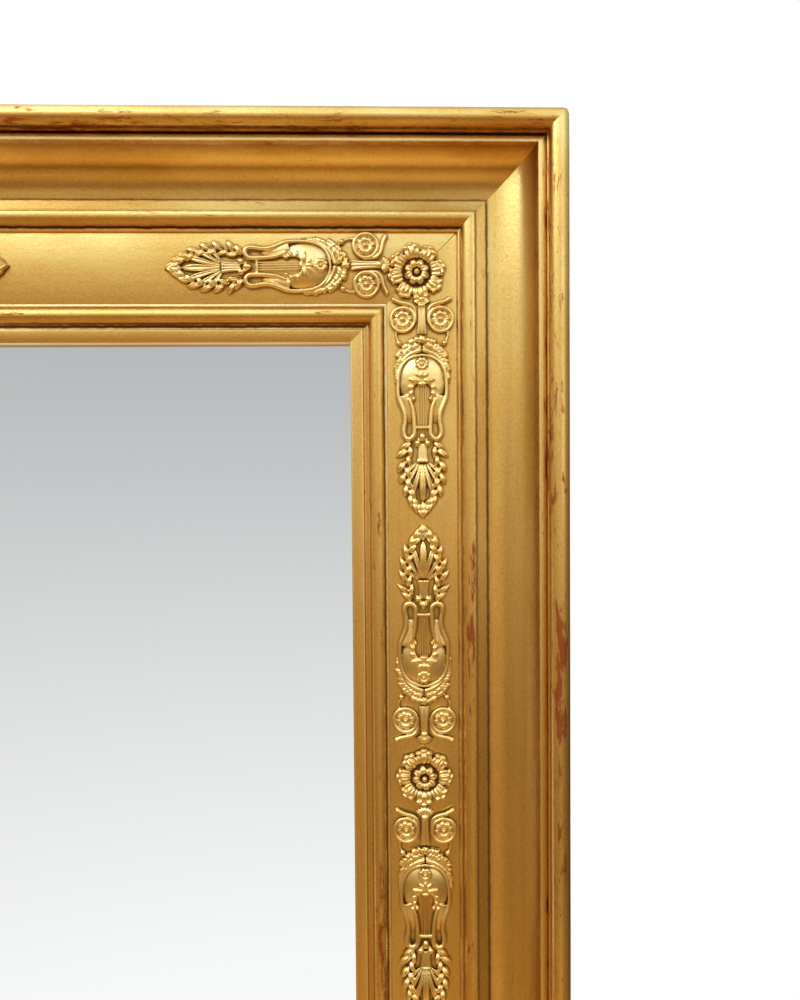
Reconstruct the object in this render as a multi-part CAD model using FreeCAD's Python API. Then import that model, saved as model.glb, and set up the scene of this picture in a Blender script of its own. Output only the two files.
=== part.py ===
import FreeCAD, Part
import math
import os
from FreeCAD import Matrix, Vector

# Gilt overmantel mirror. Millimetres, +Z up, front towards -Y, +X to the viewer's right.
# The origin is the middle of the underside, halfway between the wall and the outer bead's crest.
# Across each rail, u runs outwards from the sight edge and v runs forwards from the wall.

# Overall
overall_width = 1144.0
overall_height = 930.0

# Sight moulding, next to the glass
sight_lip = 10.0
slip_width = 9.0
slip_rise = 1.5
slip_groove_width = 4.4
slip_groove_depth = 3.0
inner_bead_width = 10.2
inner_bead_stilt = 2.5
inner_quirk_width = 0.8
inner_ledge_width = 2.2
inner_ledge_rise = 3.6

# Frieze, a crowned board that slopes a little towards the glass
frieze_width = 50.0
frieze_drop = 0.4
frieze_rise = 3.0
frieze_crown = 1.6

# Astragal moulding, outside the frieze
astragal_ledge_width = 2.0
astragal_ledge_rise = 3.4
astragal_width = 10.6
astragal_rise = 5.0
astragal_bulge = 2.3
step_width = 7.7
step_drop = 0.6

# Cornice moulding, with the cove and the outer bead
cove_drop = 3.5
cove_width = 33.7
cove_height = 22.5
cove_sag = 6.0
top_fillet_width = 5.4
outer_groove_width = 1.2
outer_groove_depth = 2.5
outer_bead_width = 14.0
outer_bead_lift = 7.3

# Carcass, pegged half laps behind the mouldings
carcass_depth = 24.0
peg_diameter = 10.0
peg_spread = 50.0
peg_clearance = 0.05

# Loose tongues inside the cornice mitres
tongue_length = 34.0
tongue_width = 22.0
tongue_thickness = 4.0
tongue_lift = 8.0
tongue_inset = 26.0
tongue_clearance = 0.1

# Glass, its blocks and the backboards
glass_thickness = 4.0
glass_lap = 11.0
glass_clearance = 2.0
block_length = 60.0
block_width = 12.0
rail_block_count = 3
stile_block_count = 2
board_count = 4
board_thickness = 10.0
board_lap = 12.0
board_clearance = 0.5
board_gap = 1.0
board_screw_diameter = 3.5
board_screw_head = 7.5
board_screw_length = 19.0
board_screw_inset = 40.0

# Hanging straps and D-rings
hanger_drop = 250.0
strap_width = 20.0
strap_length = 64.0
strap_thickness = 2.0
strap_screw_count = 2
strap_screw_pitch = 20.0
strap_screw_margin = 9.0
strap_screw_diameter = 4.0
strap_screw_head = 7.6
strap_screw_length = 19.0
screw_slot_width = 1.0
screw_slot_depth = 0.9
screw_clearance = 0.05
ring_wire = 4.0
ring_bar_clearance = 0.08
ring_lift = 0.5
ring_side_room = 2.0
ring_bend_radius = 5.0
ring_leg = 4.0

# Pressed ornament on the frieze. Heights are above the frieze's crown.
# The palmette's side leaves are pairs of (degrees off the axis, share of the middle leaf's length).
ornament_margin = 0.6
ornament_root = 3.0
tip_gap = 5.0
rosette_margin = 4.25
rosette_leaf_count = 12
rosette_leaf_height = 3.4
rosette_flower_diameter = 18.0
rosette_petal_count = 8
rosette_flower_height = 5.2
rosette_button_diameter = 4.6
rosette_button_height = 6.4
rosette_gap = 0.8
petal_overlap = 1.2
fan_radius = 7.5
fan_height = 3.6
stem_width = 6.4
stem_height = 3.4
flower_ring_diameter = 21.5
flower_ring_height = 2.6
flower_ring_rim = 2.4
small_flower_diameter = 13.0
small_flower_petal_count = 8
small_flower_height = 3.8
lyre_width = 35.0
lyre_body_height = 4.0
garland_width = 2.6
garland_height = 2.8
garland_drop = 10.0
garland_gap = 2.0
lyre_neck_length = 17.0
horn_thickness = 3.6
horn_height = 4.6
string_band_width = 8.0
string_height = 3.0
crossbar_length = 24.0
crossbar_thickness = 3.0
horn_curl_diameter = 8.0
bulb_diameter = 9.0
palmette_width = 32.0
wreath_band = 4.0
wreath_height = 2.8
palmette_leaf_width = 6.4
palmette_leaf_height = 4.8
palmette_fan = [(12, 0.86), (27, 0.66), (46, 0.46)]
laurel_pair_count = 6
laurel_length = 12.0
laurel_width = 5.0
laurel_spread = 24.0

# Places across the rail, from the sight edge outwards
u_slip = slip_width
u_inner_bead = u_slip + slip_groove_width
u_inner_quirk = u_inner_bead + inner_bead_width
u_inner_ledge = u_inner_quirk + inner_quirk_width
u_frieze = u_inner_ledge + inner_ledge_width
u_astragal_ledge = u_frieze + frieze_width
u_astragal = u_astragal_ledge + astragal_ledge_width
u_step = u_astragal + astragal_width
u_cove = u_step + step_width
u_top_fillet = u_cove + cove_width
u_outer_bead = u_top_fillet + top_fillet_width
rail_width = u_outer_bead + outer_bead_width

# Levels in front of the wall
v_sight = carcass_depth + sight_lip
v_slip = v_sight + slip_rise
v_slip_groove = v_slip - slip_groove_depth
v_inner_bead = v_slip_groove + inner_bead_stilt
v_inner_ledge = v_inner_bead + inner_ledge_rise
v_frieze_low = v_inner_ledge - frieze_drop
v_frieze_high = v_frieze_low + frieze_rise
v_astragal = v_frieze_high + astragal_ledge_rise
v_astragal_end = v_astragal + astragal_rise
v_step = v_astragal_end - step_drop
v_cove = v_step - cove_drop
v_top_fillet = v_cove + cove_height
v_outer_bead = v_top_fillet + outer_bead_lift
overall_depth = v_outer_bead + outer_bead_width / 2

# The sight opening, measured from its own centre
half_sight_width = overall_width / 2 - rail_width
half_sight_height = overall_height / 2 - rail_width
SIDES = {"top": 0, "right": 90, "bottom": 180, "left": 270}
ACROSS = Vector(0, 1, 0)


def closed_face(start, steps, lift):
    """Face inside an outline. A step is an end point, or a (through, end) pair for an arc."""
    edges = []
    here = start
    for step in steps:
        if isinstance(step[0], tuple):
            through, end = step
            edges.append(Part.Arc(lift(*here), lift(*through), lift(*end)).toShape())
        else:
            end = step
            edges.append(Part.LineSegment(lift(*here), lift(*end)).toShape())
        here = end
    if here != start:
        edges.append(Part.LineSegment(lift(*here), lift(*start)).toShape())
    return Part.Face(Part.Wire(edges))


def middle_of_arc(start, end, sag):
    """Point on the arc from start to end that stands sag to the left of its chord."""
    run = end[0] - start[0]
    rise = end[1] - start[1]
    chord = math.hypot(run, rise)
    middle = ((start[0] + end[0]) / 2, (start[1] + end[1]) / 2)
    return (middle[0] - sag * rise / chord, middle[1] + sag * run / chord)


def block(low, high):
    """Box between two corners given as (x, v, z), with v measured forwards from the wall."""
    size = [b - a for a, b in zip(low, high)]
    return Part.makeBox(size[0], size[1], size[2], Vector(low[0], -high[1], low[2]))


def rod(radius, x, z, v_back, v_front):
    """Round rod square to the wall."""
    return Part.makeCylinder(radius, v_front - v_back, Vector(x, -v_back, z), Vector(0, -1, 0))


def turned(shape, side):
    """Copy of a piece of the top rail, turned round the opening to another side."""
    copy = shape.copy()
    copy.rotate(Vector(0, 0, 0), ACROSS, SIDES[side])
    return copy


def along_and_out(side):
    """Half the sight edge along this side, and its distance from the opening's centre."""
    if side in ("top", "bottom"):
        return half_sight_width, half_sight_height
    return half_sight_height, half_sight_width


def mitred_run(outline, side):
    """Moulding of the given (u, v) outline along one side, cut to 45 degrees at both ends."""
    half_length, out = along_and_out(side)
    reach = half_length + rail_width
    face = closed_face(outline[0], outline[1:], lambda u, v: Vector(-reach, -v, out + u))
    bar = face.extrude(Vector(2 * reach, 0, 0))
    far = out + rail_width
    corners = [(-half_length, out), (half_length, out), (reach, far), (-reach, far)]
    wedge = closed_face(corners[0], corners[1:], lambda x, z: Vector(x, 0, z))
    return turned(bar.common(wedge.extrude(Vector(0, -overall_depth, 0))), side)


def sight_outline():
    radius = inner_bead_width / 2
    return [
        (0, carcass_depth),
        (0, v_sight),
        (u_slip, v_slip),
        (u_slip, v_slip_groove),
        (u_inner_bead, v_slip_groove),
        (u_inner_bead, v_inner_bead),
        ((u_inner_bead + radius, v_inner_bead + radius), (u_inner_quirk, v_inner_bead)),
        (u_inner_ledge, v_inner_bead),
        (u_inner_ledge, v_inner_ledge),
        (u_frieze, v_inner_ledge),
        (u_frieze, carcass_depth),
    ]


def frieze_outline():
    low = (u_frieze, v_frieze_low)
    high = (u_astragal_ledge, v_frieze_high)
    return [
        (u_frieze, carcass_depth),
        low,
        (middle_of_arc(low, high, frieze_crown), high),
        (u_astragal_ledge, carcass_depth),
    ]


def astragal_outline():
    low = (u_astragal, v_astragal)
    high = (u_step, v_astragal_end)
    return [
        (u_astragal_ledge, carcass_depth),
        (u_astragal_ledge, v_astragal),
        low,
        (middle_of_arc(low, high, astragal_bulge), high),
        (u_step, v_step),
        (u_cove, v_step),
        (u_cove, carcass_depth),
    ]


def cornice_outline():
    low = (u_cove, v_cove)
    high = (u_top_fillet, v_top_fillet)
    groove_start = u_outer_bead - outer_groove_width
    groove_level = v_top_fillet - outer_groove_depth
    radius = outer_bead_width / 2
    return [
        (u_cove, carcass_depth),
        low,
        (middle_of_arc(low, high, -cove_sag), high),
        (groove_start, v_top_fillet),
        (groove_start, groove_level),
        (u_outer_bead, groove_level),
        (u_outer_bead, v_outer_bead),
        ((u_outer_bead + radius, overall_depth), (rail_width, v_outer_bead)),
        (rail_width, carcass_depth),
    ]


# Carcass
lap_width = rail_width - glass_lap
half_lap = carcass_depth / 2


def corner_signs():
    return [(sx, sz) for sx in (-1, 1) for sz in (-1, 1)]


def carcass_pegs(clearance):
    """Two pegs through each half lap, on the lap's diagonal."""
    pegs = []
    for sx, sz in corner_signs():
        for shift in (-peg_spread / 2, peg_spread / 2):
            x = sx * (overall_width / 2 - lap_width / 2 + shift)
            z = sz * (overall_height / 2 - lap_width / 2 - shift)
            pegs.append(rod(peg_diameter / 2 + clearance, x, z, 0, carcass_depth))
    return pegs


def board_bay(clearance):
    """Rebate in the back of the carcass that the backboards lie in."""
    x = half_sight_width + glass_lap + board_lap - clearance
    z = half_sight_height + glass_lap + board_lap - clearance
    return (x, z)


def carcass_rail(sz):
    """Top or bottom rail, which keeps the back half of each corner lap."""
    low, high = sorted((sz * (half_sight_height + glass_lap), sz * overall_height / 2))
    rail = block((-overall_width / 2, 0, low), (overall_width / 2, carcass_depth, high))
    for sx in (-1, 1):
        near, far = sorted((sx * (overall_width / 2 - lap_width), sx * overall_width / 2))
        rail = rail.cut(block((near, half_lap, low), (far, carcass_depth, high)))
    return rail


def carcass_stile(sx):
    """Left or right stile, which keeps the front half of each corner lap."""
    low, high = sorted((sx * (half_sight_width + glass_lap), sx * overall_width / 2))
    stile = block((low, 0, -overall_height / 2), (high, carcass_depth, overall_height / 2))
    for sz in (-1, 1):
        near, far = sorted((sz * (overall_height / 2 - lap_width), sz * overall_height / 2))
        stile = stile.cut(block((low, 0, near), (high, half_lap, far)))
    return stile


# Backboards and their screws
def countersunk_screw(x, z, v_head, shank, head, length, spread):
    """Countersunk wood screw driven forwards, its flat head at v_head. Spread widens it into a hole."""
    radius = shank / 2 + spread
    head_radius = head / 2 + spread
    cone_depth = head_radius - radius
    cone = Part.makeCone(head_radius, radius, cone_depth, Vector(x, -v_head, z), Vector(0, -1, 0))
    return cone.fuse(rod(radius, x, z, v_head + cone_depth, v_head + length + spread)).removeSplitter()


def slotted(screw, x, z, v_head, head):
    """Screw with a straight driver slot across its head."""
    low = (x - head, v_head, z - screw_slot_width / 2)
    high = (x + head, v_head + screw_slot_depth, z + screw_slot_width / 2)
    return screw.cut(block(low, high))


def board_edges(index):
    """Left and right edge of one backboard."""
    half_width, _ = board_bay(board_clearance)
    pitch = (2 * half_width + board_gap) / board_count
    left = -half_width + index * pitch
    return left, left + pitch - board_gap


def board_screw_places():
    """Centres of the backboard screws, over the middle of the carcass rebate."""
    z = half_sight_height + glass_lap + board_lap / 2
    places = []
    for index in range(board_count):
        left, right = board_edges(index)
        for x in (left + board_screw_inset, right - board_screw_inset):
            places += [(x, -z), (x, z)]
    return places


def board_screw(x, z, spread):
    return countersunk_screw(x, z, 0, board_screw_diameter, board_screw_head, board_screw_length, spread)


def backboard(index):
    left, right = board_edges(index)
    _, half_height = board_bay(board_clearance)
    board = block((left, 0, -half_height), (right, board_thickness, half_height))
    holes = [board_screw(x, z, screw_clearance) for x, z in board_screw_places() if left < x < right]
    return board.cut(holes)


# Glass and its blocks
v_glass_back = carcass_depth - glass_thickness


def mirror_glass():
    half_width = half_sight_width + glass_lap - glass_clearance
    half_height = half_sight_height + glass_lap - glass_clearance
    return block((-half_width, v_glass_back, -half_height), (half_width, carcass_depth, half_height))


def glazing_blocks():
    """Softwood blocks between the glass and the backboards, against the carcass on all four sides."""
    blocks = []
    for side in SIDES:
        half_length, out = along_and_out(side)
        count = rail_block_count if side in ("top", "bottom") else stile_block_count
        edge = out + glass_lap
        for index in range(count):
            x = half_length * (2 * (index + 0.5) / count - 1)
            low = (x - block_length / 2, board_thickness, edge - block_width)
            high = (x + block_length / 2, v_glass_back, edge)
            blocks.append(turned(block(low, high), side))
    return blocks


# Loose tongues in the cornice mitres
def mitre_tongues(clearance):
    """One flat tongue across each cornice mitre, parallel to the wall and hidden inside."""
    length = tongue_length + 2 * clearance
    width = tongue_width + 2 * clearance
    thickness = tongue_thickness + 2 * clearance
    v_back = carcass_depth + tongue_lift - clearance
    reach = rail_width - tongue_inset
    tongues = []
    for sx, sz in corner_signs():
        tongue = block((-length / 2, v_back, -width / 2), (length / 2, v_back + thickness, width / 2))
        tongue.rotate(Vector(0, 0, 0), ACROSS, 45 * sx * sz)
        tongue.translate(Vector(sx * (half_sight_width + reach), 0, sz * (half_sight_height + reach)))
        tongues.append(tongue)
    return tongues


# Hanging straps and rings, behind the wall plane where v is negative
knuckle_bore = ring_wire / 2 + ring_bar_clearance
knuckle_radius = knuckle_bore + strap_thickness
ring_axis_behind = strap_thickness + ring_lift + ring_wire / 2
ring_half_bar = strap_width / 2 + ring_side_room
ring_half_width = ring_half_bar + ring_bend_radius
hanger_u = (glass_lap + board_lap + rail_width) / 2
hanger_z = overall_height / 2 - hanger_drop


def hanger_x(sx):
    return sx * (half_sight_width + hanger_u)


def strap_screw_places(sx):
    """Screw centres down the strap, from its lower end up."""
    lowest = hanger_z - strap_length + strap_screw_margin
    return [(hanger_x(sx), lowest + index * strap_screw_pitch) for index in range(strap_screw_count)]


def strap_screw(x, z, spread):
    return countersunk_screw(
        x, z, -strap_thickness, strap_screw_diameter, strap_screw_head, strap_screw_length, spread
    )


def hanger_strap(sx):
    """Flat strap with its upper end rolled into a knuckle for the ring's bar."""
    x = hanger_x(sx)
    low = x - strap_width / 2
    plate = block((low, -strap_thickness, hanger_z - strap_length), (low + strap_width, 0, hanger_z))
    axis_start = Vector(low, ring_axis_behind, hanger_z)
    along = Vector(1, 0, 0)
    knuckle = Part.makeCylinder(knuckle_radius, strap_width, axis_start, along)
    neck = block((low, -ring_axis_behind, hanger_z - knuckle_radius), (low + strap_width, 0, hanger_z))
    bore = Part.makeCylinder(knuckle_bore, strap_width, axis_start, along)
    ring_room = block(
        (low, -ring_axis_behind - knuckle_radius, hanger_z - strap_length),
        (low + strap_width, -strap_thickness, hanger_z - knuckle_radius),
    )
    strap = plate.fuse([knuckle, neck]).cut(bore).cut(ring_room).removeSplitter()
    return strap.cut([strap_screw(px, pz, screw_clearance) for px, pz in strap_screw_places(sx)])


def hanger_ring(sx):
    """D-shaped wire ring that hangs from its straight bar."""
    radius = ring_wire / 2
    top = Vector(hanger_x(sx), ring_axis_behind, hanger_z)
    bend_drop = -ring_bend_radius
    leg_end = bend_drop - ring_leg

    def at(x, z):
        return top + Vector(x, 0, z)

    def wire_bend(centre, bend_radius, start, sweep):
        """Bent wire in a plane square to Y. Angles run from +X towards +Z."""
        bend = Part.makeTorus(bend_radius, radius, Vector(), Vector(0, 0, 1), 0, 360, sweep)
        bend.rotate(Vector(0, 0, 0), Vector(1, 0, 0), 90)
        bend.rotate(Vector(0, 0, 0), ACROSS, -start)
        bend.translate(centre)
        return bend

    pieces = [Part.makeCylinder(radius, 2 * ring_half_bar, at(-ring_half_bar, 0), Vector(1, 0, 0))]
    pieces.append(wire_bend(at(ring_half_bar, bend_drop), ring_bend_radius, 0, 90))
    pieces.append(wire_bend(at(-ring_half_bar, bend_drop), ring_bend_radius, 90, 90))
    for x in (-ring_half_width, ring_half_width):
        pieces.append(Part.makeCylinder(radius, ring_leg, at(x, leg_end), Vector(0, 0, 1)))
    pieces.append(wire_bend(at(0, leg_end), ring_half_width, 180, 180))
    return pieces[0].fuse(pieces[1:]).removeSplitter()


# Pressed ornament. Built flat: x along the arm, y across it, z up from the frieze's chord.
half_frieze = frieze_width / 2
rosette_radius = half_frieze - rosette_margin
rosette_diameter = 2 * rosette_radius
frieze_slope = math.atan2(frieze_rise, frieze_width)
u_frieze_middle = u_frieze + half_frieze
v_frieze_middle = (v_frieze_low + v_frieze_high) / 2
side_spacing = half_sight_height + u_frieze_middle
top_spacing = half_sight_width + u_frieze_middle
arm_reach = (side_spacing - tip_gap) / 2
corner_slope = frieze_rise / frieze_width / 2
corner_lift = corner_slope * rosette_radius / 2


def flat(x, y):
    return Vector(x, y, -ornament_root)


def raised(start, steps, height):
    """Flat-topped relief of the given outline, with a root that the frieze later trims."""
    return closed_face(start, steps, flat).extrude(Vector(0, 0, ornament_root + frieze_crown + height))


def button(x, y, diameter, height):
    return Part.makeCylinder(diameter / 2, ornament_root + frieze_crown + height, flat(x, y))


def bar(x_start, x_end, y_low, y_high, height):
    return raised((x_start, y_low), [(x_end, y_low), (x_end, y_high), (x_start, y_high)], height)


def leaf(x, y, degrees, length, width, height):
    """Pointed leaf from a base point."""
    direction = math.radians(degrees)
    tip = (x + length * math.cos(direction), y + length * math.sin(direction))
    right = middle_of_arc((x, y), tip, -width / 2)
    left = middle_of_arc((x, y), tip, width / 2)
    return raised((x, y), [(right, tip), (left, (x, y))], height)


def petal_ring(x, y, diameter, count, height):
    """Flower outline: round petals about a disc, tips on the given diameter."""
    petal = petal_overlap * diameter / 2 * math.sin(math.pi / count)
    middle = diameter / 2 - petal
    pieces = [button(x, y, 2 * middle, height)]
    for index in range(count):
        angle = 2 * math.pi * index / count
        pieces.append(button(x + middle * math.cos(angle), y + middle * math.sin(angle), 2 * petal, height))
    return pieces


def rosette():
    """Ring of acanthus leaves round an open flower with a button."""
    pieces = petal_ring(0, 0, rosette_diameter, rosette_leaf_count, rosette_leaf_height)
    pieces += petal_ring(0, 0, rosette_flower_diameter, rosette_petal_count, rosette_flower_height)
    pieces.append(button(0, 0, rosette_button_diameter, rosette_button_height))
    return pieces[0].fuse(pieces[1:]).removeSplitter()


# Stations along the arm, from the rosette's centre
x_fan = rosette_radius + rosette_gap
flower_ring_offset = half_frieze - ornament_margin - flower_ring_diameter / 2
x_flower_ring = x_fan + fan_radius + flower_ring_diameter / 2 - ornament_margin
x_garland = x_flower_ring + flower_ring_diameter / 2
x_lyre = x_garland + garland_gap + garland_drop
lyre_radius = lyre_width / 2
x_lyre_middle = x_lyre + lyre_radius
x_lyre_top = x_lyre + lyre_width
x_crossbar = x_lyre_top + lyre_neck_length
x_bulb = x_crossbar + crossbar_thickness / 2 + bulb_diameter / 2
x_palmette = x_bulb + bulb_diameter / 4
palmette_length = arm_reach - x_palmette


def scroll_pair():
    """Fan, fluted stem and the two ringed flowers beside it."""
    half_stem = stem_width / 2
    fan_tip = x_fan + fan_radius
    pieces = [raised((x_fan, -fan_radius), [((x_fan + fan_radius, 0), (x_fan, fan_radius))], fan_height)]
    pieces.append(bar(fan_tip - half_stem, x_lyre_middle, -half_stem, half_stem, stem_height))
    bridge_end = x_flower_ring + flower_ring_rim
    half_bridge = flower_ring_offset
    pieces.append(bar(x_flower_ring, bridge_end, -half_bridge, half_bridge, flower_ring_height))
    for y in (-flower_ring_offset, flower_ring_offset):
        pieces.append(button(x_flower_ring, y, flower_ring_diameter, flower_ring_height))
        flower = (small_flower_diameter, small_flower_petal_count, small_flower_height)
        pieces += petal_ring(x_flower_ring, y, *flower)
        rim = button(x_flower_ring, y, flower_ring_diameter, small_flower_height)
        inside = button(x_flower_ring, y, flower_ring_diameter - 2 * flower_ring_rim, small_flower_height)
        pieces.append(rim.cut(inside))
    return pieces


def lyre():
    """Round-bodied lyre with a garland below, two horns, strings and a crossbar."""
    pieces = [button(x_lyre_middle, 0, lyre_width, lyre_body_height)]
    y_garland = lyre_radius + garland_width
    swag = [((x_lyre - garland_drop, 0), (x_lyre_middle, -y_garland))]
    pieces.append(raised((x_lyre_middle, y_garland), swag, garland_height))
    x_horn = x_lyre_middle + lyre_radius / 2
    x_end = x_crossbar + crossbar_thickness
    y_root = lyre_radius - horn_thickness / 2
    y_end = crossbar_length / 2 - horn_thickness
    for side in (-1, 1):
        outer = [(x_horn, side * y_root), (x_end, side * (y_end + horn_thickness / 2))]
        inner = [(x_end, side * (y_end - horn_thickness / 2)), (x_horn, side * (y_root - horn_thickness))]
        bulge = -side * horn_thickness / 2
        steps = [(middle_of_arc(outer[0], outer[1], -bulge), outer[1]), inner[0]]
        steps.append((middle_of_arc(inner[0], inner[1], bulge), inner[1]))
        pieces.append(raised(outer[0], steps, horn_height))
        pieces.append(button(x_end, side * crossbar_length / 2, horn_curl_diameter, horn_height))
    half_strings = string_band_width / 2
    x_strings_end = x_crossbar + crossbar_thickness / 2
    pieces.append(bar(x_lyre_middle, x_strings_end, -half_strings, half_strings, string_height))
    half_bar = crossbar_length / 2
    pieces.append(bar(x_crossbar, x_end, -half_bar, half_bar, horn_height))
    pieces.append(button(x_bulb, 0, bulb_diameter, horn_height))
    return pieces


def palmette():
    """Seven-leaved palmette inside a pointed laurel wreath that ends at the arm's tip."""
    tip = (arm_reach, 0)
    base = (x_palmette, 0)
    half = palmette_width / 2
    outer = [(middle_of_arc(base, tip, -half), tip), (middle_of_arc(base, tip, half), base)]
    wreath = raised(base, outer, wreath_height)
    inner_base = (x_palmette + wreath_band, 0)
    inner_tip = (arm_reach - 2 * wreath_band, 0)
    inner_half = half - wreath_band
    inner = [
        (middle_of_arc(inner_base, inner_tip, -inner_half), inner_tip),
        (middle_of_arc(inner_base, inner_tip, inner_half), inner_base),
    ]
    pieces = [wreath.cut(raised(inner_base, inner, palmette_leaf_height))]
    leaf_shape = (palmette_leaf_width, palmette_leaf_height)
    inner_length = inner_tip[0] - x_palmette
    pieces.append(leaf(x_palmette, 0, 0, inner_length, *leaf_shape))
    laurel_shape = (laurel_length, laurel_width, wreath_height)
    for side in (-1, 1):
        for degrees, share in palmette_fan:
            pieces.append(leaf(x_palmette, 0, side * degrees, share * inner_length, *leaf_shape))
        for index in range(laurel_pair_count):
            share = (index + 0.5) / laurel_pair_count
            x = x_palmette + share * (palmette_length - laurel_length)
            y = side * (half - wreath_band / 2) * (1 - (2 * share - 1) ** 2)
            turn = side * laurel_spread * (1 - 2 * share)
            pieces.append(leaf(x, y, turn, *laurel_shape))
    return pieces


def lyre_arm():
    """One pressed arm, from the fan beside the rosette to the wreath's tip."""
    pieces = scroll_pair() + lyre() + palmette()
    return pieces[0].fuse(pieces[1:]).removeSplitter()


def on_frieze(shape, along, out):
    """Copy of flat ornament laid on the top rail's frieze, at a distance along the rail."""
    slope_cos = math.cos(frieze_slope)
    slope_sin = math.sin(frieze_slope)
    place = Matrix(
        1, 0, 0, along,
        0, -slope_sin, -slope_cos, -v_frieze_middle,
        0, slope_cos, -slope_sin, out + u_frieze_middle,
        0, 0, 0, 1,
    )
    copy = shape.copy()
    copy.transformShape(place)
    return copy


def in_corner(shape):
    """Copy of a flat rosette laid in the shallow valley of the top right frieze mitre."""
    up = Vector(-corner_slope, -1, -corner_slope).normalize()
    across_mitre = Vector(1, 0, -1).normalize()
    along_mitre = up.cross(across_mitre)
    foot = Vector(top_spacing, -v_frieze_middle, side_spacing) + up * corner_lift
    axes = zip(across_mitre, along_mitre, up, foot)
    numbers = [number for row in axes for number in row]
    copy = shape.copy()
    copy.transformShape(Matrix(*numbers, 0, 0, 0, 1))
    return copy


def frieze_ornaments(friezes):
    """Rosettes and arms by node name, each trimmed to the frieze that it is glued to."""
    out = half_sight_height
    ground = friezes["top"]
    flat_rosette = rosette()
    flat_arm = lyre_arm()
    centre_rosette = on_frieze(flat_rosette, 0, out).cut(ground)
    arms = {}
    for way in (-1, 1):
        arm = flat_arm.copy()
        arm.rotate(Vector(0, 0, 0), Vector(0, 0, 1), 0 if way > 0 else 180)
        arms[way] = on_frieze(arm, 0, out).cut(ground)
    corner = in_corner(flat_rosette).cut([friezes["top"], friezes["right"]])
    corner.translate(Vector(-top_spacing, 0, -side_spacing))

    ornaments = {}
    for side in SIDES:
        half_length, side_out = along_and_out(side)
        spacing = half_length + u_frieze_middle
        shift = side_out - out

        def laid(shape, along):
            copy = shape.copy()
            copy.translate(Vector(along, 0, shift))
            return turned(copy, side)

        ornaments[f"centre_rosette_{side}"] = laid(centre_rosette, 0)
        ornaments[f"{side}_centre_arm_1"] = laid(arms[-1], 0)
        ornaments[f"{side}_centre_arm_2"] = laid(arms[1], 0)
        ornaments[f"{side}_corner_arm_1"] = laid(arms[1], -spacing)
        ornaments[f"{side}_corner_arm_2"] = laid(arms[-1], spacing)
        after_side = turned(corner, side)
        sx = 1 if side in ("top", "right") else -1
        sz = 1 if side in ("top", "left") else -1
        after_side.translate(Vector(sx * top_spacing, 0, sz * side_spacing))
        upright = "top" if sz > 0 else "bottom"
        across = "right" if sx > 0 else "left"
        ornaments[f"corner_rosette_{upright}_{across}"] = after_side
    return ornaments


def save(node, shape):
    """Writes one piece, moved from the opening's centre to the origin on the underside."""
    moved = shape.copy()
    moved.translate(Vector(0, overall_depth / 2, overall_height / 2))
    moved.exportStep(f"parts/{node}.step")


os.makedirs("parts", exist_ok=True)

# Mouldings
for side in SIDES:
    save(f"sight_moulding_{side}", mitred_run(sight_outline(), side))
    save(f"astragal_{side}", mitred_run(astragal_outline(), side))
    save(f"cornice_{side}", mitred_run(cornice_outline(), side).cut(mitre_tongues(tongue_clearance)))
friezes = {side: mitred_run(frieze_outline(), side) for side in SIDES}
for side, frieze in friezes.items():
    save(f"frieze_{side}", frieze)
save("mitre_tongues", Part.makeCompound(mitre_tongues(0)))

# Carcass
bay_x, bay_z = board_bay(0)
bay = block((-bay_x, 0, -bay_z), (bay_x, board_thickness, bay_z))
strap_holes = [strap_screw(x, z, screw_clearance) for sx in (-1, 1) for x, z in strap_screw_places(sx)]
board_holes = [board_screw(x, z, screw_clearance) for x, z in board_screw_places()]
carcass_cuts = [bay] + carcass_pegs(peg_clearance) + strap_holes + board_holes
save("carcass_rail_top", carcass_rail(1).cut(carcass_cuts))
save("carcass_rail_bottom", carcass_rail(-1).cut(carcass_cuts))
save("carcass_stile_left", carcass_stile(-1).cut(carcass_cuts))
save("carcass_stile_right", carcass_stile(1).cut(carcass_cuts))
save("carcass_pegs", Part.makeCompound(carcass_pegs(0)))

# Glass and back
save("mirror_glass", mirror_glass())
save("glazing_blocks", Part.makeCompound(glazing_blocks()))
for index in range(board_count):
    save(f"backboard_{index + 1}", backboard(index))
board_screws = [slotted(board_screw(x, z, 0), x, z, 0, board_screw_head) for x, z in board_screw_places()]
save("backboard_screws", Part.makeCompound(board_screws))

# Hangers
strap_screws = []
for sx, hand in ((-1, "left"), (1, "right")):
    save(f"hanger_strap_{hand}", hanger_strap(sx))
    save(f"hanger_ring_{hand}", hanger_ring(sx))
    for x, z in strap_screw_places(sx):
        strap_screws.append(slotted(strap_screw(x, z, 0), x, z, -strap_thickness, strap_screw_head))
save("hanger_screws", Part.makeCompound(strap_screws))

# Ornament
for node, ornament in frieze_ornaments(friezes).items():
    save(node, ornament)
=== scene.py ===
import math
import random

import bpy
import numpy as np
from mathutils import Matrix, Vector


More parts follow.
